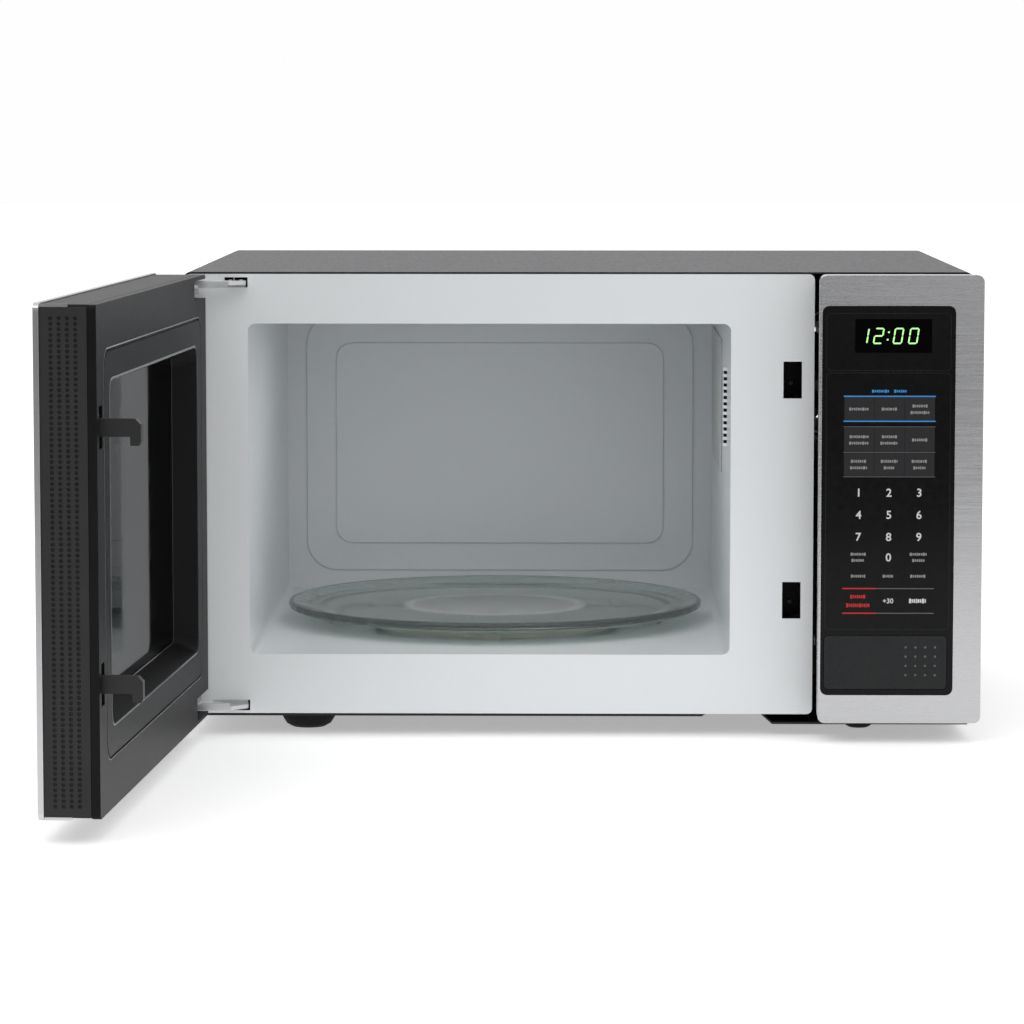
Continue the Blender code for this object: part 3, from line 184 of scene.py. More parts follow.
# %% Powder coat
def make_powder_coat():
    finish, tree, shader = surface("powder_coated_steel", Roughness=0.42, Specular_IOR_Level=0.10)
    peel = grain(tree, (2.0, 2.0, 2.0), 2.0, "orange peel")
    speckle = grain(tree, (0.35, 0.35, 0.35), 1.0, "speckle")
    two_tone(tree, shader, speckle.outputs["Fac"], "#2a2b2f", "#35363b")
    tree.links.new(spread(tree, peel.outputs["Fac"], 0.34, 0.46), shader.inputs["Roughness"])
    tilt(tree, shader, peel.outputs["Fac"], 0.03)
    return finish


powder_coat = make_powder_coat()
print("made", powder_coat.name)

# %% [markdown]
# ## Vitreous enamel paint: the front plate and the cavity
#
# The cavity and its front plate are sprayed white and baked hard, so that spatter wipes off. The
# layer is glossy, with a long and very shallow waviness, and has a clear skin over the pigment. Its
# clouds stay within one step of grey: more than that would read as stains.


# %% White enamel
def make_enamel():
    finish, tree, shader = surface("baked_white_enamel", Roughness=0.28, Coat_Weight=0.2, Coat_Roughness=0.12)
    wave = grain(tree, (18.0, 18.0, 18.0), 1.0, "waviness")
    cloud = grain(tree, (60.0, 60.0, 60.0), 2.0, "cloud")
    two_tone(tree, shader, cloud.outputs["Fac"], "#e8ebed", "#eaedef")
    tree.links.new(spread(tree, wave.outputs["Fac"], 0.275, 0.290), shader.inputs["Roughness"])
    tilt(tree, shader, wave.outputs["Fac"], 0.001)
    return finish


enamel = make_enamel()
print("made", enamel.name)

# %% [markdown]
# ## Brushed stainless steel: the skins of the door and the control panel
#
# A belt draws fine scratches across the sheet from side to side. Each is a few hundredths of a
# millimetre wide and several centimetres long. Lines that fine would vanish at this distance, so
# they are drawn 0.5 mm wide. The scratches spread reflections up and down, which gives the sheet its
# soft vertical fade. They are long along both x and y, so they run on round a folded edge. The door's
# sheet has the coarser grind and is the duller, lighter one.


# %% Brushed stainless
def make_brushed(name, streak_mm, dark, light, roughness):
    finish, tree, shader = surface(name, Metallic=1.0, Roughness=roughness)
    lines = grain(tree, streak_mm, 4.0, "brush lines")
    coarse = grain(tree, [size * 2 for size in streak_mm], 3.0, "broad streaks")
    both = add_node(tree, "ShaderNodeMath", None, {0: lines.outputs["Fac"], 1: coarse.outputs["Fac"]},
                    operation="ADD")
    half = add_node(tree, "ShaderNodeMath", {1: 0.5}, {0: both.outputs["Value"]}, operation="MULTIPLY")
    two_tone(tree, shader, half.outputs["Value"], dark, light)
    tree.links.new(spread(tree, half.outputs["Value"], roughness - 0.04, roughness + 0.04),
                   shader.inputs["Roughness"])
    tilt(tree, shader, lines.outputs["Fac"], 0.006)
    return finish


panel_brushed = make_brushed("brushed_stainless_panel", (45.0, 45.0, 0.5), "#b6b6b8", "#c8c8ca", 0.26)
door_brushed = make_brushed("brushed_stainless_door", (45.0, 45.0, 0.5), "#c4c4c6", "#d0d0d2", 0.32)
print("made", panel_brushed.name, "and", door_brushed.name)

# %% [markdown]
# ## Zinc-plated steel: hinges, rear panel and hidden sheet-metal parts
#
# Electroplated zinc is a thin grey metal with a faint mottling, duller than stainless steel. Where it
# has been passivated, as on the hinge arms, it is paler and milky.


# %% Zinc plate
def make_zinc(name, dark, light, metallic):
    finish, tree, shader = surface(name, Metallic=metallic, Roughness=0.38)
    mottle = grain(tree, (6.0, 6.0, 6.0), 4.0, "mottle")
    two_tone(tree, shader, mottle.outputs["Fac"], dark, light)
    tree.links.new(spread(tree, mottle.outputs["Fac"], 0.32, 0.46), shader.inputs["Roughness"])
    tilt(tree, shader, mottle.outputs["Fac"], 0.01)
    return finish


zinc = make_zinc("zinc_plated_steel", "#9b9da0", "#bdbfc1", 1.0)
bright_zinc = make_zinc("bright_passivated_zinc", "#c6c8ca", "#e4e5e6", 0.6)
print("made", zinc.name, "and", bright_zinc.name)

# %% [markdown]
# ## Moulded plastics
#
# The door's inner frame, its edge and the panel housing are black ABS. The tool has an eroded
# texture, so the plastic has a grain about 0.4 mm across and a satin shine. The sheet over the keypad
# and the push button came from a polished tool and are glossy. Rollers and coupler are natural
# polypropylene or acetal, a waxy off-white that lets a little light in.


# %% Black and white plastics
def make_plastic(name, dark, light, roughness, grain_mm, height_mm, gloss=0.5, subsurface=0.0):
    finish, tree, shader = surface(name, Roughness=roughness, Specular_IOR_Level=gloss,
                                   Subsurface_Weight=subsurface, Subsurface_Scale=0.002)
    texture = grain(tree, (grain_mm,) * 3, 2.0, "tool texture")
    broad = grain(tree, (25.0,) * 3, 2.0, "flow marks")
    two_tone(tree, shader, broad.outputs["Fac"], dark, light)
    tree.links.new(spread(tree, texture.outputs["Fac"], roughness - 0.05, roughness + 0.07),
                   shader.inputs["Roughness"])
    tilt(tree, shader, texture.outputs["Fac"], height_mm)
    return finish


satin_abs = make_plastic("moulded_black_abs", "#141415", "#19191a", 0.40, 0.4, 0.006, 0.08)
trim_abs = make_plastic("eroded_grey_abs", "#2c2c2d", "#333334", 0.50, 0.4, 0.010, 0.14)
hook_abs = make_plastic("moulded_hook_nylon", "#232324", "#2a2a2b", 0.42, 0.6, 0.006, 0.30)
gloss_abs = make_plastic("polished_black_acrylic", "#111112", "#151516", 0.14, 4.0, 0.002, 0.10)
button_abs = make_plastic("polished_button_abs", "#202324", "#262929", 0.24, 3.0, 0.003, 0.15)
acetal = make_plastic("natural_acetal", "#d9d6cc", "#e6e3da", 0.38, 0.8, 0.01, 0.5, 0.1)
rubber = make_plastic("moulded_rubber", "#131313", "#1c1c1c", 0.70, 0.6, 0.03, 0.3)
plastics = (satin_abs, trim_abs, hook_abs, gloss_abs, button_abs, acetal, rubber)
print("plastics:", [finish.name for finish in plastics])

# %% [markdown]
# ## Glass
#
# The turntable plate is pressed soda-lime glass: clear from above, but green-grey at its thick rim,
# where the light has come a long way through the iron in it. The door's panes are tinted nearly black
# to hide the screen behind them.


# %% Clear and tinted glass
def make_glass(name, colour, transmission, roughness, gloss=0.5):
    finish, tree, shader = surface(name, Transmission_Weight=transmission, IOR=1.52,
                                   Specular_IOR_Level=gloss)
    ripple = grain(tree, (14.0, 14.0, 14.0), 1.0, "press ripple")
    two_tone(tree, shader, ripple.outputs["Fac"], *colour)
    tree.links.new(spread(tree, ripple.outputs["Fac"], roughness, roughness + 0.03),
                   shader.inputs["Roughness"])
    tilt(tree, shader, ripple.outputs["Fac"], 0.006)
    return finish


plate_glass = make_glass("pressed_soda_lime_glass", ("#bdcbc4", "#c8d5cf"), 0.92, 0.02)
tinted_glass = make_glass("tinted_float_glass", ("#050506", "#070708"), 0.0, 0.03, 0.05)
print("glass:", plate_glass.name, tinted_glass.name)

# %% [markdown]
# ## Perforated screen, mica, circuit board and laminations
#
# The screen in the door is a steel sheet with round holes about 1.2 mm across, 1.8 mm apart. They are
# drawn 2.4 mm apart, so that they show. Mica is pressed from flakes, so it glitters in patches. The
# boards and the transformer are seen only through the louvres, and get a plain version of their look.


# %% Patterned finishes
def make_cells(name, cell_mm, dark, light, edge, roughness, metallic=0.0):
    """A finish of cells cell_mm apart: holes in a screen, flakes in mica, copper islands on a board."""
    finish, tree, shader = surface(name, Metallic=metallic, Roughness=roughness)
    place = add_node(tree, "ShaderNodeTexCoord")
    cells = add_node(tree, "ShaderNodeTexVoronoi", {"Scale": 1.0 / (cell_mm * MM), "Randomness": edge},
                     {"Vector": place.outputs["Object"]})
    step = add_node(tree, "ShaderNodeMapRange", {"From Min": 0.30, "From Max": 0.42},
                    {"Value": cells.outputs["Distance"]})
    two_tone(tree, shader, step.outputs["Result"], dark, light)
    tilt(tree, shader, step.outputs["Result"], 0.05)
    return finish


screen_steel = make_cells("perforated_steel", 2.4, "#050505", "#55585b", 0.0, 0.4, 0.6)
mica = make_cells("pressed_mica", 5.0, "#c4c5c3", "#cfd0ce", 1.0, 0.42)
board = make_cells("fibreglass_board", 3.0, "#155a2c", "#0d4220", 0.7, 0.45)
core = make_cells("lacquered_laminations", 1.0, "#2a2523", "#3b3531", 0.2, 0.5, 0.4)
print("patterned:", [finish.name for finish in (screen_steel, mica, board, core)])

# %% [markdown]
# ## Put a finish on every solid
#
# Each solid keeps its mesh and gets one of the materials above. The table is written the other way
# round, finish first, because that is how a maker would order the parts.

# %% Dress the solids
FINISHES = {
    powder_coat: ["outer_cover", "base_plate"],
    enamel: ["front_plate", "cavity_box"],
    panel_brushed: ["panel_skin"],
    door_brushed: ["door_skin"],
    zinc: ["rear_panel", "waveguide", "magnetron", "hv_capacitor", "lever_spring", "turntable_motor",
           "door_steel_frame", "latch_spring"],
    bright_zinc: ["upper_hinge_plate", "lower_hinge_plate"],
    satin_abs: ["cord_gland", "panel_frame", "door_moulding", "choke_cover", "hv_diode",
                "fan_shroud", "air_duct", "thermal_cutout", "latch_board", "primary_switch",
                "monitor_switch", "secondary_switch"],
    trim_abs: ["door_edge_trim"],
    hook_abs: ["latch_hooks", "release_lever", "primary_plunger", "monitor_plunger", "secondary_plunger"],
    gloss_abs: ["keypad_overlay", "display_module"],
    button_abs: ["open_button"],
    acetal: ["fan_blade", "cavity_lamp", "drive_coupler", "roller_ring", "roller_1", "roller_2", "roller_3"],
    rubber: ["foot_front_left", "foot_front_right", "foot_rear_left", "foot_rear_right"],
    plate_glass: ["glass_plate"],
    tinted_glass: ["display_window", "door_outer_window", "door_inner_window"],
    screen_steel: ["door_screen"],
    mica: ["waveguide_cover"],
    board: ["filter_board", "control_board"],
    core: ["hv_transformer", "fan_motor"],
}
dressed = 0
for finish, names in FINISHES.items():
    for name in names:
        solid = frame["nodes"][name]
        solid.data.materials.clear()
        solid.data.materials.append(finish)
        dressed += 1
print(dressed, "of", len(frame["nodes"]), "solids dressed")

# %% [markdown]
# ## Helpers for new pieces
#
# A new piece is a mesh made in code. Each one says which body carries it and which material it wears. Flat
# things, such as ink, are built from outlines drawn in the plane of the front, then given a thickness of a
# few hundredths of a millimetre.


# %% From bmesh to a piece that rides
def piece(name, work, finish, body, smooth=False):
    bmesh.ops.recalc_face_normals(work, faces=work.faces)
    mesh = bpy.data.meshes.new(name)
    work.to_mesh(mesh)
    work.free()
    for polygon in mesh.polygons:
        polygon.use_smooth = smooth
    mesh.materials.append(finish)
    item = bpy.data.objects.new(name, mesh)
    bpy.context.scene.collection.objects.link(item)
    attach(item, body)
    return item


def slab(work, outline, back, front):
    """A closed plate with this (x, z) outline, from y = back to y = front."""
    rings = [[work.verts.new((x, y, z)) for x, z in outline] for y in (back, front)]
    work.faces.new(rings[0])
    work.faces.new(rings[1][::-1])
    for number in range(len(outline)):
        following = (number + 1) % len(outline)
        work.faces.new((rings[0][number], rings[1][number], rings[1][following], rings[0][following]))


def rounded(x, z, width, height, radius, steps=3):
    """Outline of a rounded rectangle about (x, z)."""
    points = []
    for quarter, (side, up) in enumerate(((1, 1), (-1, 1), (-1, -1), (1, -1))):
        for step in range(steps + 1):
            angle = math.pi / 2 * (quarter + step / steps)
            points.append((x + side * (width / 2 - radius) + radius * math.cos(angle),
                           z + up * (height / 2 - radius) + radius * math.sin(angle)))
    return points


def ring(work, outer, inner, back, front):
    """A closed frame between two outlines that have equally many points."""
    loops = [[work.verts.new((px, y, pz)) for px, pz in outline]
             for outline, y in ((outer, back), (outer, front), (inner, front), (inner, back))]
    for first, second in zip(loops, loops[1:] + loops[:1]):
        for number in range(len(outer)):
            following = (number + 1) % len(outer)
            work.faces.new((first[number], second[number], second[following], first[following]))


print("piece helpers ready")

# %% [markdown]
# ## Inks
#
# The keypad is one sheet, screen-printed. An ink is a thin matt layer, so it is a very flat slab with
# its own colour. The clock's digits shine by themselves: they are a vacuum-fluorescent display, and
# its blue-green light shows through the window.


# %% Ink and display materials
def make_ink(name, colour, glow=0.0):
    finish, tree, shader = surface(name, Roughness=0.5, Specular_IOR_Level=0.2)
    screen = grain(tree, (0.6, 0.6, 0.6), 1.0, "screen print")
    two_tone(tree, shader, screen.outputs["Fac"], *colour)
    tilt(tree, shader, screen.outputs["Fac"], 0.004)
    if glow:
        shader.inputs["Emission Color"].default_value = linear(colour[1])
        shader.inputs["Emission Strength"].default_value = glow
    return finish


white_ink = make_ink("white_screen_ink", ("#c6c6c7", "#d2d2d3"))
grey_ink = make_ink("grey_screen_ink", ("#828283", "#8e8e8f"))
line_ink = make_ink("dim_line_ink", ("#5c5c5d", "#666667"))
blue_ink = make_ink("blue_screen_ink", ("#3a7fbd", "#4189c9"))
red_ink = make_ink("red_screen_ink", ("#b0282c", "#bd3034"))
key_ink = make_ink("key_field_ink", ("#232325", "#272729"))
display_glow = make_ink("fluorescent_display", ("#8fd27a", "#9be085"), 1.1)
print("inks ready")

# %% [markdown]
# ## Printing on the keypad
#
# Keys sit in three columns. Word labels are left generic: each is a run of short dashes as wide as a
# printed word. Lines and key fields are laid out from the keypad's own box.

# %% Layout of the keypad
sheet_low, sheet_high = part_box("keypad_overlay")
FACE = sheet_low[1]                           # front of the glossy sheet
INK = 0.00006
COLUMNS = [(sheet_low[0] + sheet_high[0]) / 2 + 0.0007 + side * 0.0194 for side in (-1, 0, 1)]
FIELD_WIDTH = 0.059
FIELD_LEFT = COLUMNS[1] - FIELD_WIDTH / 2
print("columns at", [round(x, 4) for x in COLUMNS])


def ink_bar(work, x, z, width, height, lift=1.0):
    slab(work, rounded(x, z, width, height, min(width, height, 0.001) * 0.3, 2), FACE, FACE - INK * lift)


def dashes(work, x, z, width, height=0.0016):
    """A generic word: short dashes of uneven length that fill the width."""
    pattern = (1.4, 0.8, 1.1, 0.7, 1.3, 0.9)
    left, number = x - width / 2, 0
    while left < x + width / 2 - 0.0006:
        length = min(pattern[number % len(pattern)] * MM, x + width / 2 - left)
        ink_bar(work, left + length / 2, z, length, height * (1.0 if number % 3 else 1.25), 2.0)
        left += length + 0.00035
        number += 1


# %% Key fields, lines and labels
fields = bmesh.new()
for low, high in ((0.2097, 0.2243), (0.1895, 0.2049), (0.1737, 0.1885)):
    for x in COLUMNS:
        ink_bar(fields, x, (low + high) / 2, 0.0192, high - low)
piece("key_fields", fields, key_ink, "root")

lines = bmesh.new()
for z in (0.2054, 0.1890, 0.1732):
    ink_bar(lines, COLUMNS[1], z, FIELD_WIDTH, 0.0004, 1.6)
for z in (0.1010, 0.0850):
    ink_bar(lines, COLUMNS[1] + 0.0108, z, FIELD_WIDTH - 0.0216, 0.0006, 1.6)
piece("key_lines", lines, line_ink, "root")

blue = bmesh.new()
for z in (0.2250, 0.2090):
    ink_bar(blue, COLUMNS[1], z, FIELD_WIDTH, 0.0009, 1.8)
dashes(blue, COLUMNS[1] - 0.0055, 0.2283, 0.0118)
dashes(blue, COLUMNS[1] + 0.0070, 0.2283, 0.0085)
piece("blue_print", blue, blue_ink, "root")

red = bmesh.new()
for z in (0.1010, 0.0850):
    ink_bar(red, FIELD_LEFT + 0.0108, z, 0.0216, 0.0009, 1.8)
dashes(red, COLUMNS[0], 0.0957, 0.0100, 0.0020)
dashes(red, COLUMNS[0], 0.0901, 0.0150, 0.0022)
piece("red_print", red, red_ink, "root")
print("key fields, lines and red and blue print made")

# %% [markdown]
# ## Labels and digits
#
# The table gives, for each row, the height of its text lines and their widths in the three columns.
# The digits are real text, turned to mesh, because numbers on a keypad are generic.

# %% Word labels
LABEL_ROWS = {
    0.2168: (0.0130, 0.0102, None), 0.2188: (None, None, 0.0096), 0.2146: (None, None, 0.0120),
    0.1990: (0.0122, 0.0096, None), 0.1970: (None, None, 0.0098), 0.1949: (0.0128, 0.0116, None),
    0.1832: (0.0104, 0.0108, 0.0100), 0.1790: (0.0114, 0.0070, 0.0078),
    0.1232: (0.0098, None, 0.0114), 0.1192: (0.0086, None, 0.0082),
    0.1090: (0.0092, 0.0072, 0.0106),
}
labels = bmesh.new()
for z, widths in LABEL_ROWS.items():
    for x, width in zip(COLUMNS, widths):
        if width:
            dashes(labels, x, z, width)
piece("word_labels", labels, grey_ink, "root")
print("label rows:", len(LABEL_ROWS))


# %% Digits
def add_text(work, text, x, z, height, depth=INK * 2):
    """Adds text as a mesh that stands on the glossy sheet, centred on (x, z)."""
    curve = bpy.data.curves.new("digits", "FONT")
    curve.body, curve.align_x, curve.align_y = text, "CENTER", "CENTER"
    curve.size, curve.extrude, curve.resolution_u, curve.offset = height / 0.68, depth / 2, 4, height * 0.022
    holder = bpy.data.objects.new("digits", curve)
    bpy.context.scene.collection.objects.link(holder)
    bpy.context.view_layer.update()
    mesh = bpy.data.meshes.new_from_object(holder.evaluated_get(bpy.context.evaluated_depsgraph_get()))
    centre = (Vector(holder.bound_box[0]) + Vector(holder.bound_box[6])) / 2
    mesh.transform(Matrix.Translation((x, FACE - depth / 2, z)) @ Matrix.Rotation(math.pi / 2, 4, "X")
                   @ Matrix.Translation(-centre))
    work.from_mesh(mesh)
    bpy.data.objects.remove(holder)
    bpy.data.curves.remove(curve)
    bpy.data.meshes.remove(mesh)


numbers = bmesh.new()
for row, (z, digits) in enumerate(((0.1630, "123"), (0.1487, "456"), (0.1344, "789"))):
    for x, digit in zip(COLUMNS, digits):
        add_text(numbers, digit, x, z, 0.0050)
add_text(numbers, "0", COLUMNS[1], 0.1212, 0.0050)
add_text(numbers, "+30", COLUMNS[1], 0.0930, 0.0030)
dashes(numbers, COLUMNS[2], 0.0930, 0.0118, 0.0024)
piece("number_keys", numbers, white_ink, "root")
print("digits made")

# %% [markdown]
# ## Clock display
#
# Seven-segment digits lean a little to the right. Each segment is a bar with pointed ends, so that
# neighbours meet in a mitre.

# %% Seven-segment clock
SEGMENTS = {"0": "abcdef", "1": "bc", "2": "abged"}
LEAN = math.tan(math.radians(9))


def segment(work, start, end, half, centre_z, face):
    """A bar with pointed ends from start to end, in (x, z), sheared by the lean."""
    along = (Vector(end) - Vector(start)).normalized()
    side = Vector((-along.y, along.x)) * half
    start, end = Vector(start) + along * half * 0.25, Vector(end) - along * half * 0.25
    corners = [start, start + along * half + side, end - along * half + side, end,
               end - along * half - side, start + along * half - side]
    slab(work, [(p.x + (p.y - centre_z) * LEAN, p.y) for p in corners], face, face - INK)


def clock_digit(work, digit, x, z, width, height, face):
    left, right, top, low = x - width / 2, x + width / 2, z + height / 2, z - height / 2
    ends = {"a": ((left, top), (right, top)), "b": ((right, z), (right, top)),
            "c": ((right, low), (right, z)), "d": ((left, low), (right, low)),
            "e": ((left, low), (left, z)), "f": ((left, z), (left, top)), "g": ((left, z), (right, z))}
    for name in SEGMENTS[digit]:
        segment(work, *ends[name], 0.00045, z, face)


window_low, window_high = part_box("display_window")
clock_z = (window_low[2] + window_high[2]) / 2
clock_x = (window_low[0] + window_high[0]) / 2
clock = bmesh.new()
for digit, offset in zip("1200", (-0.0190, -0.0095, 0.0031, 0.0129)):
    clock_digit(clock, digit, clock_x + offset, clock_z, 0.0052, 0.0095, window_low[1])
for rise in (-0.0024, 0.0024):
    x = clock_x - 0.0034 + rise * LEAN
    slab(clock, rounded(x, clock_z + rise, 0.0011, 0.0011, 0.0003), window_low[1], window_low[1] - INK)
piece("clock_digits", clock, display_glow, "root")
print("clock is", round((window_high[0] - window_low[0]) * 1000, 1), "mm wide")

# %% [markdown]
# ## Frame line round the keypad, and the button's grip dots
#
# A fine raised line follows the keypad's edge. The push button has sixteen grip dots at its right end, each a
# small dome, so a finger finds it. A thin ring a little lighter than the button, just inside its edge, is a
# painted highlight for the light on its bevelled edge.

# %% Frame line
KEYS_LOW, KEYS_HIGH, FRAME_WIDTH, DISPLAY_HEIGHT = 0.0742, 0.2402, 0.0800, 0.0370
LINE, LINE_RADIUS = 0.0007, 0.0030           # twice the line's width, and its outer corner radius
edge_line = bmesh.new()
key_x = (sheet_low[0] + sheet_high[0]) / 2 - 0.0001
for z, height in (((KEYS_LOW + KEYS_HIGH) / 2, KEYS_HIGH - KEYS_LOW),
                  (KEYS_HIGH + 0.0012 + DISPLAY_HEIGHT / 2, DISPLAY_HEIGHT)):
    ring(edge_line, rounded(key_x, z, FRAME_WIDTH, height, LINE_RADIUS, 5),
         rounded(key_x, z, FRAME_WIDTH - LINE, height - LINE, LINE_RADIUS - LINE / 2, 5), FACE, FACE - 0.0001)
piece("keypad_edge_line", edge_line, button_abs, "root")

# %% Grip dots
button_low, button_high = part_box("open_button")
dots = bmesh.new()
for column in range(4):
    for row in range(4):
        dome = bmesh.ops.create_icosphere(dots, subdivisions=2, radius=0.0008)["verts"]
        bmesh.ops.scale(dots, vec=(1, 0.35, 1), verts=dome)
        bmesh.ops.translate(dots, verts=dome, vec=(button_high[0] - 0.0264 + 0.0063 * column, button_low[1],
                                                   button_low[2] + 0.0092 + 0.0060 * row))
piece("button_grip_dots", dots, line_ink, "open_button", smooth=True)

# painted highlight: a thin ring lighter than the button, where its bevelled edge catches the light
button_bevel_highlight = bmesh.new()
bx, bz = (button_low[0] + button_high[0]) / 2, (button_low[2] + button_high[2]) / 2
bw, bh = button_high[0] - button_low[0] - 0.0024, button_high[2] - button_low[2] - 0.0024
ring(button_bevel_highlight, rounded(bx, bz, bw, bh, 0.0024, 4), rounded(bx, bz, bw - 0.0006, bh - 0.0006, 0.0021, 4),
     button_low[1] + 0.0001, button_low[1] - 0.00008)
piece("button_painted_bevel_highlight", button_bevel_highlight, trim_abs, "open_button")
print("button is", round(bw * 1000, 1), "by", round(bh * 1000, 1), "mm inside its line")

# %% [markdown]
# ## The pitted strip on the door's edge
#
# The free edge of the door is closed by a plastic strip with four columns of small round pits, which
# hide sink marks and let a hand grip it. The pits are real: each cell of the strip is a square with an
# octagonal hole that narrows to a flat floor. The strip is laid out on the shut door and then turned
# open with the hinge, because a shut door lies square to the axes.

# %% From the shut door to the open one
hinge = next(joint for joint in frame["joints"] if joint["name"] == "door_hinge")
HINGE = Vector((hinge["pos_m"][0], hinge["pos_m"][1], 0.0))
OPENED = Matrix.Rotation(math.radians(hinge["range_deg"][0]), 4, "Z")
TO_OPEN = Matrix.Translation(HINGE) @ OPENED @ Matrix.Translation(-HINGE)


def shut_box(name):
    """A door node's lowest and highest corners with the door shut."""
    back = TO_OPEN.inverted()
    points = [back @ vertex.co for vertex in frame["nodes"][name].data.vertices]
    return tuple([pick(point[axis] for point in points) for axis in range(3)] for pick in (min, max))


trim_low, trim_high = shut_box("door_edge_trim")
print("edge strip:", [round((high - low) * 1000, 1) for low, high in zip(trim_low, trim_high)], "mm")


# %% Pitted strip
def pitted_strip(low, high, columns, rows, margin_y, margin_z, depth):
    """A plate whose +x face carries a grid of octagonal pits."""
    work = bmesh.new()
    face, back = high[0], low[0]
    cell_y = (high[1] - low[1] - 2 * margin_y) / columns
    cell_z = (high[2] - low[2] - 2 * margin_z) / rows
    grid_y = [low[1] + margin_y + cell_y * number for number in range(columns + 1)]
    grid_z = [low[2] + margin_z + cell_z * number for number in range(rows + 1)]
    knots = {(i, j): work.verts.new((face, y, z))
             for i, y in enumerate(grid_y) for j, z in enumerate(grid_z)}
    radius = min(cell_y, cell_z) * 0.41
    for i in range(columns):
        for j in range(rows):
            y, z = grid_y[i] + cell_y / 2, grid_z[j] + cell_z / 2
            turns = [math.pi / 4 * number + math.pi / 8 for number in range(8)]
            rim, floor = ([work.verts.new((level, y + size * math.cos(turn), z + size * math.sin(turn)))
                           for turn in turns]
                          for level, size in ((face, radius), (face - depth, radius * 0.6)))
            corners = [knots[i + 1, j + 1], knots[i, j + 1], knots[i, j], knots[i + 1, j]]
            for side in range(4):
                first, second, third = rim[2 * side], rim[2 * side + 1], rim[(2 * side + 2) % 8]
                work.faces.new((corners[side], second, first))
                work.faces.new((corners[side], corners[(side + 1) % 4], third, second))
            for number in range(8):
                following = (number + 1) % 8
                work.faces.new((rim[number], rim[following], floor[following], floor[number]))
            work.faces.new(floor)
    border = [knots[i, 0] for i in range(columns + 1)] + [knots[columns, j] for j in range(1, rows + 1)]
    border += [knots[i, rows] for i in range(columns - 1, -1, -1)]
    border += [knots[0, j] for j in range(rows - 1, 0, -1)]

    def pushed_out(value, grid, axis):
        """The strip's own edge for a knot on the rim of the grid, else the knot's place."""
        return low[axis] if value < grid[0] + 1e-6 else high[axis] if value > grid[-1] - 1e-6 else value

    edge = [((pushed_out(knot.co.y, grid_y, 1), pushed_out(knot.co.z, grid_z, 2)), knot) for knot in border]
    outer = [work.verts.new((face - 0.0002, y, z)) for (y, z), _ in edge]
    rear = [work.verts.new((back, y, z)) for (y, z), _ in edge]
    for number in range(len(edge)):
        following = (number + 1) % len(edge)
        work.faces.new((edge[number][1], edge[following][1], outer[following], outer[number]))
        work.faces.new((outer[number], outer[following], rear[following], rear[number]))
    work.faces.new(rear)
    work.transform(TO_OPEN)
    return work


strip = piece("pitted_edge_strip", pitted_strip(trim_low, trim_high, 4, 90, 0.0040, 0.0045, 0.0010),
              trim_abs, "door")
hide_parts("door_edge_trim")
print("strip has", len(strip.data.polygons), "faces")

# %% [markdown]
# ## Bright lines on the door
#
# Three thin details catch the light on the open door: the steel skin's lip over both ends of the edge strip,
# and a polished bead round the sloping frame, once where it starts and once at the window. A bead is a low
# roof: two outlines on the surface and one ridge between them. The beads' plastic is a lighter grey than the
# black frame round them: a painted highlight along each bead, on top of its real gloss.


# %% Lips and beads
def bead(work, outline_at, level, width, height):
    """A closed roof-shaped rim: outline_at(inset) gives its outline at an inset from the outside."""
    corners = ((0.0, level), (width / 2, level + height), (width, level), (width / 2, level - height))
    loops = [[work.verts.new((x, y, z)) for x, z in outline_at(inset)] for inset, y in corners]
    for first, second in zip(loops, loops[1:] + loops[:1]):
        for number in range(len(first)):
            following = (number + 1) % len(first)
            work.faces.new((first[number], second[number], second[following], first[following]))


cover_low, cover_high = shut_box("choke_cover")
pane_low, pane_high = shut_box("door_inner_window")
skin_low, skin_high = shut_box("door_skin")


def about_pane(grow, radius):
    """Outline maker: the pane's outline grown by grow, for a bead."""
    x, z = (pane_low[0] + pane_high[0]) / 2, (pane_low[2] + pane_high[2]) / 2
    width, height = pane_high[0] - pane_low[0] + 2 * grow, pane_high[2] - pane_low[2] + 2 * grow
    return lambda inset: rounded(x, z, width - 2 * inset, height - 2 * inset, radius - inset, 6)


beads = bmesh.new()
bead(beads, about_pane(-0.0020, 0.0100), cover_high[1], 0.0014, 0.0003)
bead(beads, about_pane(-0.0086, 0.0070), pane_high[1] + 0.0004, 0.0012, 0.0003)
bead(beads, about_pane(0.0155, 0.0125), cover_high[1], 0.0008, 0.0002)
beads.transform(TO_OPEN)
# the beads' grey is lighter than the black frame: a painted highlight along each bead, besides its real gloss
painted_highlight_bead_abs = make_plastic("polished_bead_abs_painted_highlight", "#3a3b3c", "#434445", 0.18, 2.0, 0.002, 0.5)
piece("door_frame_beads", beads, painted_highlight_bead_abs, "door")

lips = bmesh.new()
for low, high in ((trim_high[2] + 0.0002, skin_high[2] - 0.0006),
                  (skin_low[2] + 0.0006, trim_low[2] - 0.0002)):
    bar = bmesh.ops.create_cube(lips, size=1.0)["verts"]
    size = (0.0012, cover_low[1] - skin_high[1] - 0.0008, high - low)
    bmesh.ops.scale(lips, vec=size, verts=bar)
    bmesh.ops.translate(lips, verts=bar, vec=(skin_high[0] - size[0] / 2 - 0.0001,
                                              (cover_low[1] + skin_high[1]) / 2, (low + high) / 2))
bmesh.ops.bevel(lips, geom=lips.edges, offset=0.0002, segments=2, affect="EDGES")
lips.transform(TO_OPEN)
piece("skin_end_lips", lips, door_brushed, "door")
print("beads and lips made")

# %% [markdown]
# ## The frosted middle of the glass plate
#
# The plate's middle is etched to a fine matt, so it looks like a paler disc, and the drive coupler
# shows through it. The etching fades out towards its edge. Five thin discs, each a little smaller
# than the one under it, give that soft edge: together they are a tenth of a millimetre thick.


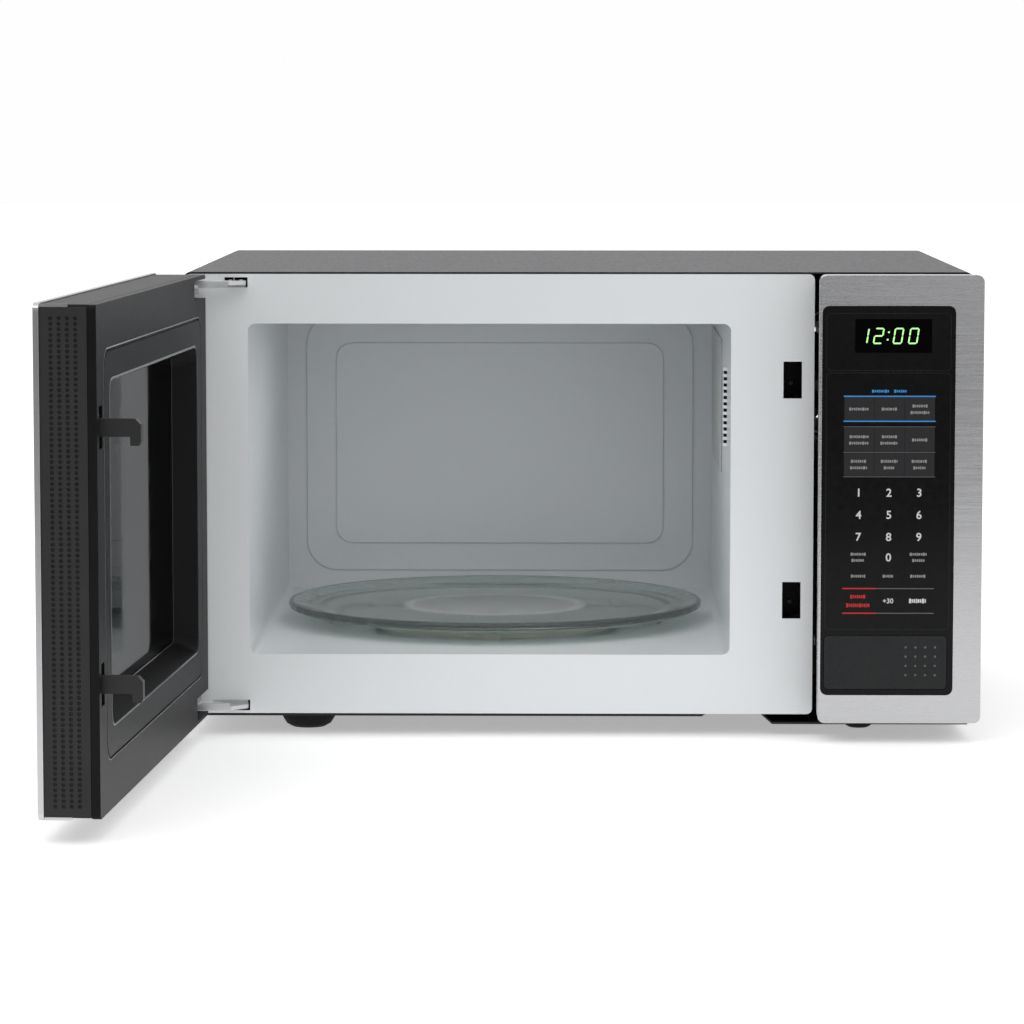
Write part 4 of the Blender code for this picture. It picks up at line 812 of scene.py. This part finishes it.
# %% Frosted disc
def make_frost():
    finish, tree, shader = surface("acid_frosted_glass", Roughness=0.45, Alpha=0.12, Specular_IOR_Level=0.2)
    fine = grain(tree, (1.0, 1.0, 1.0), 2.0, "frost")
    two_tone(tree, shader, fine.outputs["Fac"], "#f2f6f4", "#fcfefd")
    tilt(tree, shader, fine.outputs["Fac"], 0.01)
    return finish


frosted = make_frost()
FROST_RADIUS, FROST_STEP, FROST_LAYER = 64 * MM, 3.5 * MM, 0.02 * MM
plate = frame["nodes"]["glass_plate"]
plate_low, plate_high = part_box("glass_plate")
spindle = ((plate_low[0] + plate_high[0]) / 2, (plate_low[1] + plate_high[1]) / 2)
inward = plate.matrix_world.inverted()
above = inward @ Vector((spindle[0] + 0.02, spindle[1], plate_high[2] + 0.05))
hit = plate.ray_cast(above, inward.to_3x3() @ Vector((0, 0, -1)))
glass_top = (plate.matrix_world @ hit[1]).z
frost = bmesh.new()
for layer in range(5):
    radius = FROST_RADIUS - FROST_STEP * layer
    turns = [2 * math.pi * step / 72 for step in range(72)]
    rims = [[frost.verts.new((spindle[0] + radius * math.cos(turn), spindle[1] + radius * math.sin(turn),
                              glass_top + (layer + share) * FROST_LAYER)) for turn in turns]
            for share in (0.3, 1.0)]
    frost.faces.new(rims[1])
    frost.faces.new(rims[0][::-1])
    for n in range(72):
        after = (n + 1) % 72
        frost.faces.new((rims[0][n], rims[0][after], rims[1][after], rims[1][n]))
piece("plate_frosted_middle", frost, frosted, "plate")
print("glass top at", round(glass_top, 5), "plate top at", round(plate_high[2], 5))

# %% [markdown]
# ## Screws and rivets
#
# The cover and the rear panel are held by pan-head screws with a cross recess; here only the rear panel's
# screws are placed. One head is modelled and its mesh is shared by all of them, which keeps the file small.
# The hinge arms are riveted.


# %% A pan head with a cross recess
def screw_mesh(radius, height):
    work = bmesh.new()
    profile = [(radius, 0.0), (radius, height * 0.35), (radius * 0.9, height * 0.7),
               (radius * 0.6, height * 0.93), (0.0, height)]
    points = [work.verts.new((r, 0, z)) for r, z in profile]
    edges = [work.edges.new(pair) for pair in zip(points, points[1:])]
    bmesh.ops.spin(work, geom=points + edges, cent=(0, 0, 0), axis=(0, 0, 1), angle=2 * math.pi, steps=24)
    bmesh.ops.remove_doubles(work, verts=work.verts, dist=1e-6)
    bmesh.ops.contextual_create(work, geom=[edge for edge in work.edges if edge.is_boundary])
    bmesh.ops.recalc_face_normals(work, faces=work.faces)
    head, tool = (bpy.data.meshes.new(name) for name in ("screw_head", "screw_recess"))
    work.to_mesh(head)
    work.free()
    cross = bmesh.new()
    for sizes in ((0.22, 1.05), (1.05, 0.22)):
        bar = bmesh.ops.create_cube(cross, size=1.0)["verts"]
        bmesh.ops.scale(cross, vec=(radius * sizes[0], radius * sizes[1], height * 1.1), verts=bar)
        bmesh.ops.translate(cross, vec=(0, 0, height), verts=bar)
    cross.to_mesh(tool)
    cross.free()
    for mesh in (head, tool):
        mesh.materials.append(zinc)
    body, cutter = (bpy.data.objects.new(mesh.name, mesh) for mesh in (head, tool))
    for item in (body, cutter):
        bpy.context.scene.collection.objects.link(item)
    recess = body.modifiers.new("recess", "BOOLEAN")
    recess.object, recess.operation, recess.solver, recess.use_self = cutter, "DIFFERENCE", "EXACT", True
    bpy.context.view_layer.update()
    made = bpy.data.meshes.new_from_object(body.evaluated_get(bpy.context.evaluated_depsgraph_get()))
    for item in (body, cutter):
        bpy.data.objects.remove(item)
    return made


def fasten(name, mesh, place, outward, body, spin=0.0):
    """A linked copy of the head at a place, with its top facing outward."""
    item = bpy.data.objects.new(name, mesh)
    turn = Vector((0, 0, 1)).rotation_difference(Vector(outward)).to_matrix().to_4x4()
    item.matrix_world = Matrix.Translation(place) @ turn @ Matrix.Rotation(spin, 4, "Z")
    bpy.context.scene.collection.objects.link(item)
    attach(item, body)
    return item


small_screw = screw_mesh(0.0036, 0.0012)
rear_low, rear_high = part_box("rear_panel")
REAR_SCREWS = [(0.014, 0.012), (0.256, 0.008), (0.498, 0.012), (0.010, 0.150), (0.501, 0.140), (0.014, 0.277),
               (0.256, 0.281), (0.498, 0.277)]
for number, (x, z) in enumerate(REAR_SCREWS):
    place = (rear_low[0] + x - 0.0013, rear_high[1] - 0.00005, rear_low[2] + z)
    fasten(f"rear_screw_{number}", small_screw, place, (0, 1, 0), "root", 0.7 * number)
print(len(REAR_SCREWS), "rear screws placed")

# %% Rivets and a stiffening rib on each hinge arm
for label, level, side, into in (("upper", 0.2975, 0.2950, -1), ("lower", 0.0180, 0.0205, 1)):
    rivets = bmesh.new()
    for x, y in ((0.0265, 0.0035), (0.0330, 0.0080)):
        dome = bmesh.ops.create_icosphere(rivets, subdivisions=2, radius=0.0017)["verts"]
        bmesh.ops.scale(rivets, vec=(1, 1, 0.45), verts=dome)
        bmesh.ops.translate(rivets, verts=dome, vec=(HINGE.x + x, HINGE.y + y, level))
    piece(f"{label}_arm_rivets", rivets, zinc, "root", smooth=True)
    rib = bmesh.new()
    slab(rib, rounded(HINGE.x + 0.0155, side + into * 0.0009, 0.0190, 0.0020, 0.0008, 4),
         HINGE.y - 0.0018, HINGE.y - 0.0046)
    piece(f"{label}_arm_rib", rib, bright_zinc, "root")
print("hinge rivets and ribs made")

# %% [markdown]
# ## The vent hood in the cavity
#
# Air enters the cavity through a row of twelve small square holes near the front of its right wall. A shallow
# hood slopes out over them and carries the same row of holes, so that they face the door. The holes are not
# cut through: a black block sits half a millimetre deep in each, painted shade standing for the dark inside
# the hole.

# %% Vent hood
VENT_FRONT, VENT_LOW, VENT_PITCH, VENT_HOLE, VENT_COUNT = 0.0790, 0.1860, 0.0042, 0.0022, 12
HOOD_OUT, HOOD_DEPTH, HOLE_SHADE_SUNK = 0.0026, 0.0070, 0.0005
wall_hit = frame["nodes"]["cavity_box"].ray_cast(Vector((plate_high[0], 0.120, 0.120)), Vector((1, 0, 0)))
WALL = wall_hit[1].x - 0.02 * MM


def column(work, outline, low, high):
    """A closed column with this (x, y) outline, from z = low to z = high."""
    rings = [[work.verts.new((x, y, z)) for x, y in outline] for z in (low, high)]
    work.faces.new(rings[0])
    work.faces.new(rings[1][::-1])
    for number in range(len(outline)):
        following = (number + 1) % len(outline)
        work.faces.new((rings[0][number], rings[1][number], rings[1][following], rings[0][following]))


def hood_outline(sunk):
    """The hood's profile: a slope that faces the door, a flat and a long back."""
    out = WALL - HOOD_OUT + sunk
    return [(WALL, VENT_FRONT + sunk), (out, VENT_FRONT + HOOD_OUT), (out, VENT_FRONT + HOOD_OUT + MM),
            (WALL, VENT_FRONT + HOOD_DEPTH - sunk)]


bars, hole_shade_blocks = bmesh.new(), bmesh.new()
for number in range(VENT_COUNT + 1):
    hole = VENT_LOW + VENT_PITCH * number
    column(bars, hood_outline(0.0), hole - VENT_PITCH + VENT_HOLE, hole)
    if number < VENT_COUNT:
        # a black block sunk in each hole: painted shade for the dark inside the hole
        column(hole_shade_blocks, hood_outline(HOLE_SHADE_SUNK), hole + 0.01 * MM, hole + VENT_HOLE - 0.01 * MM)
piece("vent_hood_bars", bars, enamel, "root")
piece("vent_hood_painted_hole_shade", hole_shade_blocks, satin_abs, "root")
print("vent hood on the wall at", round(WALL, 5))

# %% [markdown]
# ## Floor and light
#
# The oven stands on a pale floor under large soft lamps. The sky is brighter above than at the
# horizon, so that the steel shows a fade from top to bottom instead of one flat tone.

# %% Floor
floor_work = bmesh.new()
bmesh.ops.create_grid(floor_work, x_segments=1, y_segments=1, size=14.0)
floor_mesh = bpy.data.meshes.new("floor")
floor_work.to_mesh(floor_mesh)
floor_work.free()
floor = bpy.data.objects.new("floor", floor_mesh)
floor.location.z = cad_bounds[0][2] - 0.0003
pale, pale_tree, pale_shader = surface("pale_floor", Roughness=0.9, Emission_Color=linear("#ffffff"),
                                        Emission_Strength=0.40)
pale_grain = grain(pale_tree, (400.0, 400.0, 400.0), 1.0, "floor")
two_tone(pale_tree, pale_shader, pale_grain.outputs["Fac"], "#f2f2f2", "#f5f5f5")
floor_mesh.materials.append(pale)
bpy.context.scene.collection.objects.link(floor)
print("floor at", round(floor.location.z, 5))


# %% [markdown]
# ## A dark cloth for the steel to mirror
#
# Polished steel looks like what stands around it. In an all-white room it would have no contrast, so
# a dark cloth lies on the floor in front of the set. It starts where the view of the floor ends, and
# it is seen only in reflections.

# %% Black flag
flag_work = bmesh.new()
flag_corners = [flag_work.verts.new(corner) for corner in ((-4, -7, 0.002), (4, -7, 0.002), (4, -1.25, 0.002),
                                                           (-4, -1.25, 0.002))]
flag_work.faces.new(flag_corners)
flag_mesh = bpy.data.meshes.new("black_flag")
flag_work.to_mesh(flag_mesh)
flag_work.free()
cloth, cloth_tree, cloth_shader = surface("black_flag_cloth", Roughness=0.9)
cloth_grain = grain(cloth_tree, (20.0, 20.0, 20.0), 1.0, "cloth")
two_tone(cloth_tree, cloth_shader, cloth_grain.outputs["Fac"], "#202020", "#2a2a2a")
flag_mesh.materials.append(cloth)
flag = bpy.data.objects.new("black_flag", flag_mesh)
flag.visible_camera, flag.visible_shadow = False, False
bpy.context.scene.collection.objects.link(flag)
print("flag laid")


# %% Lamps and sky
def lamp(name, place, target, size, power):
    light = bpy.data.lights.new(name, "AREA")
    light.shape, light.size, light.energy = "SQUARE", size, power
    item = bpy.data.objects.new(name, light)
    item.location = place
    item.rotation_euler = (Vector(target) - Vector(place)).to_track_quat("-Z", "Y").to_euler()
    bpy.context.scene.collection.objects.link(item)


lamp("key_lamp", (-0.5, -2.4, 2.2), (0, 0.1, 0.15), 1.6, 13.5)
lamp("fill_lamp", (0.9, -3.0, 0.9), (0, 0.2, 0.15), 1.4, 5)
lamp("back_lamp", (0.2, 2.4, 2.4), (0, 0, 0.2), 2.0, 3)
lamp("cavity_lamp_light", (-0.0367, 0.11, 0.266), (-0.0367, 0.1101, 0.0), 0.18, 0.17)

sky = bpy.data.worlds.new("studio_sky")
bpy.context.scene.world = sky
sky.use_nodes = True
sky_tree = sky.node_tree
where = add_node(sky_tree, "ShaderNodeTexCoord")
split = add_node(sky_tree, "ShaderNodeSeparateXYZ", None, {"Vector": where.outputs["Generated"]})
# lowest in front of the oven, highest behind it and overhead
lift = add_node(sky_tree, "ShaderNodeMath", {1: 1.5}, {0: split.outputs["Z"]}, operation="MULTIPLY")
toward = add_node(sky_tree, "ShaderNodeMath", None, {0: lift.outputs["Value"], 1: split.outputs["Y"]},
                  operation="ADD")
DARKEST, BRIGHTEST = 0.05, 1.0
fade_limits = {"From Min": -0.8, "From Max": 0.6, "To Min": DARKEST, "To Max": BRIGHTEST}
fade = add_node(sky_tree, "ShaderNodeMapRange", fade_limits, {"Value": toward.outputs["Value"]})
sky_tree.links.new(fade.outputs["Result"], sky_tree.nodes["Background"].inputs["Strength"])
sky_tree.nodes["Background"].inputs["Color"].default_value = linear("#fefefe")
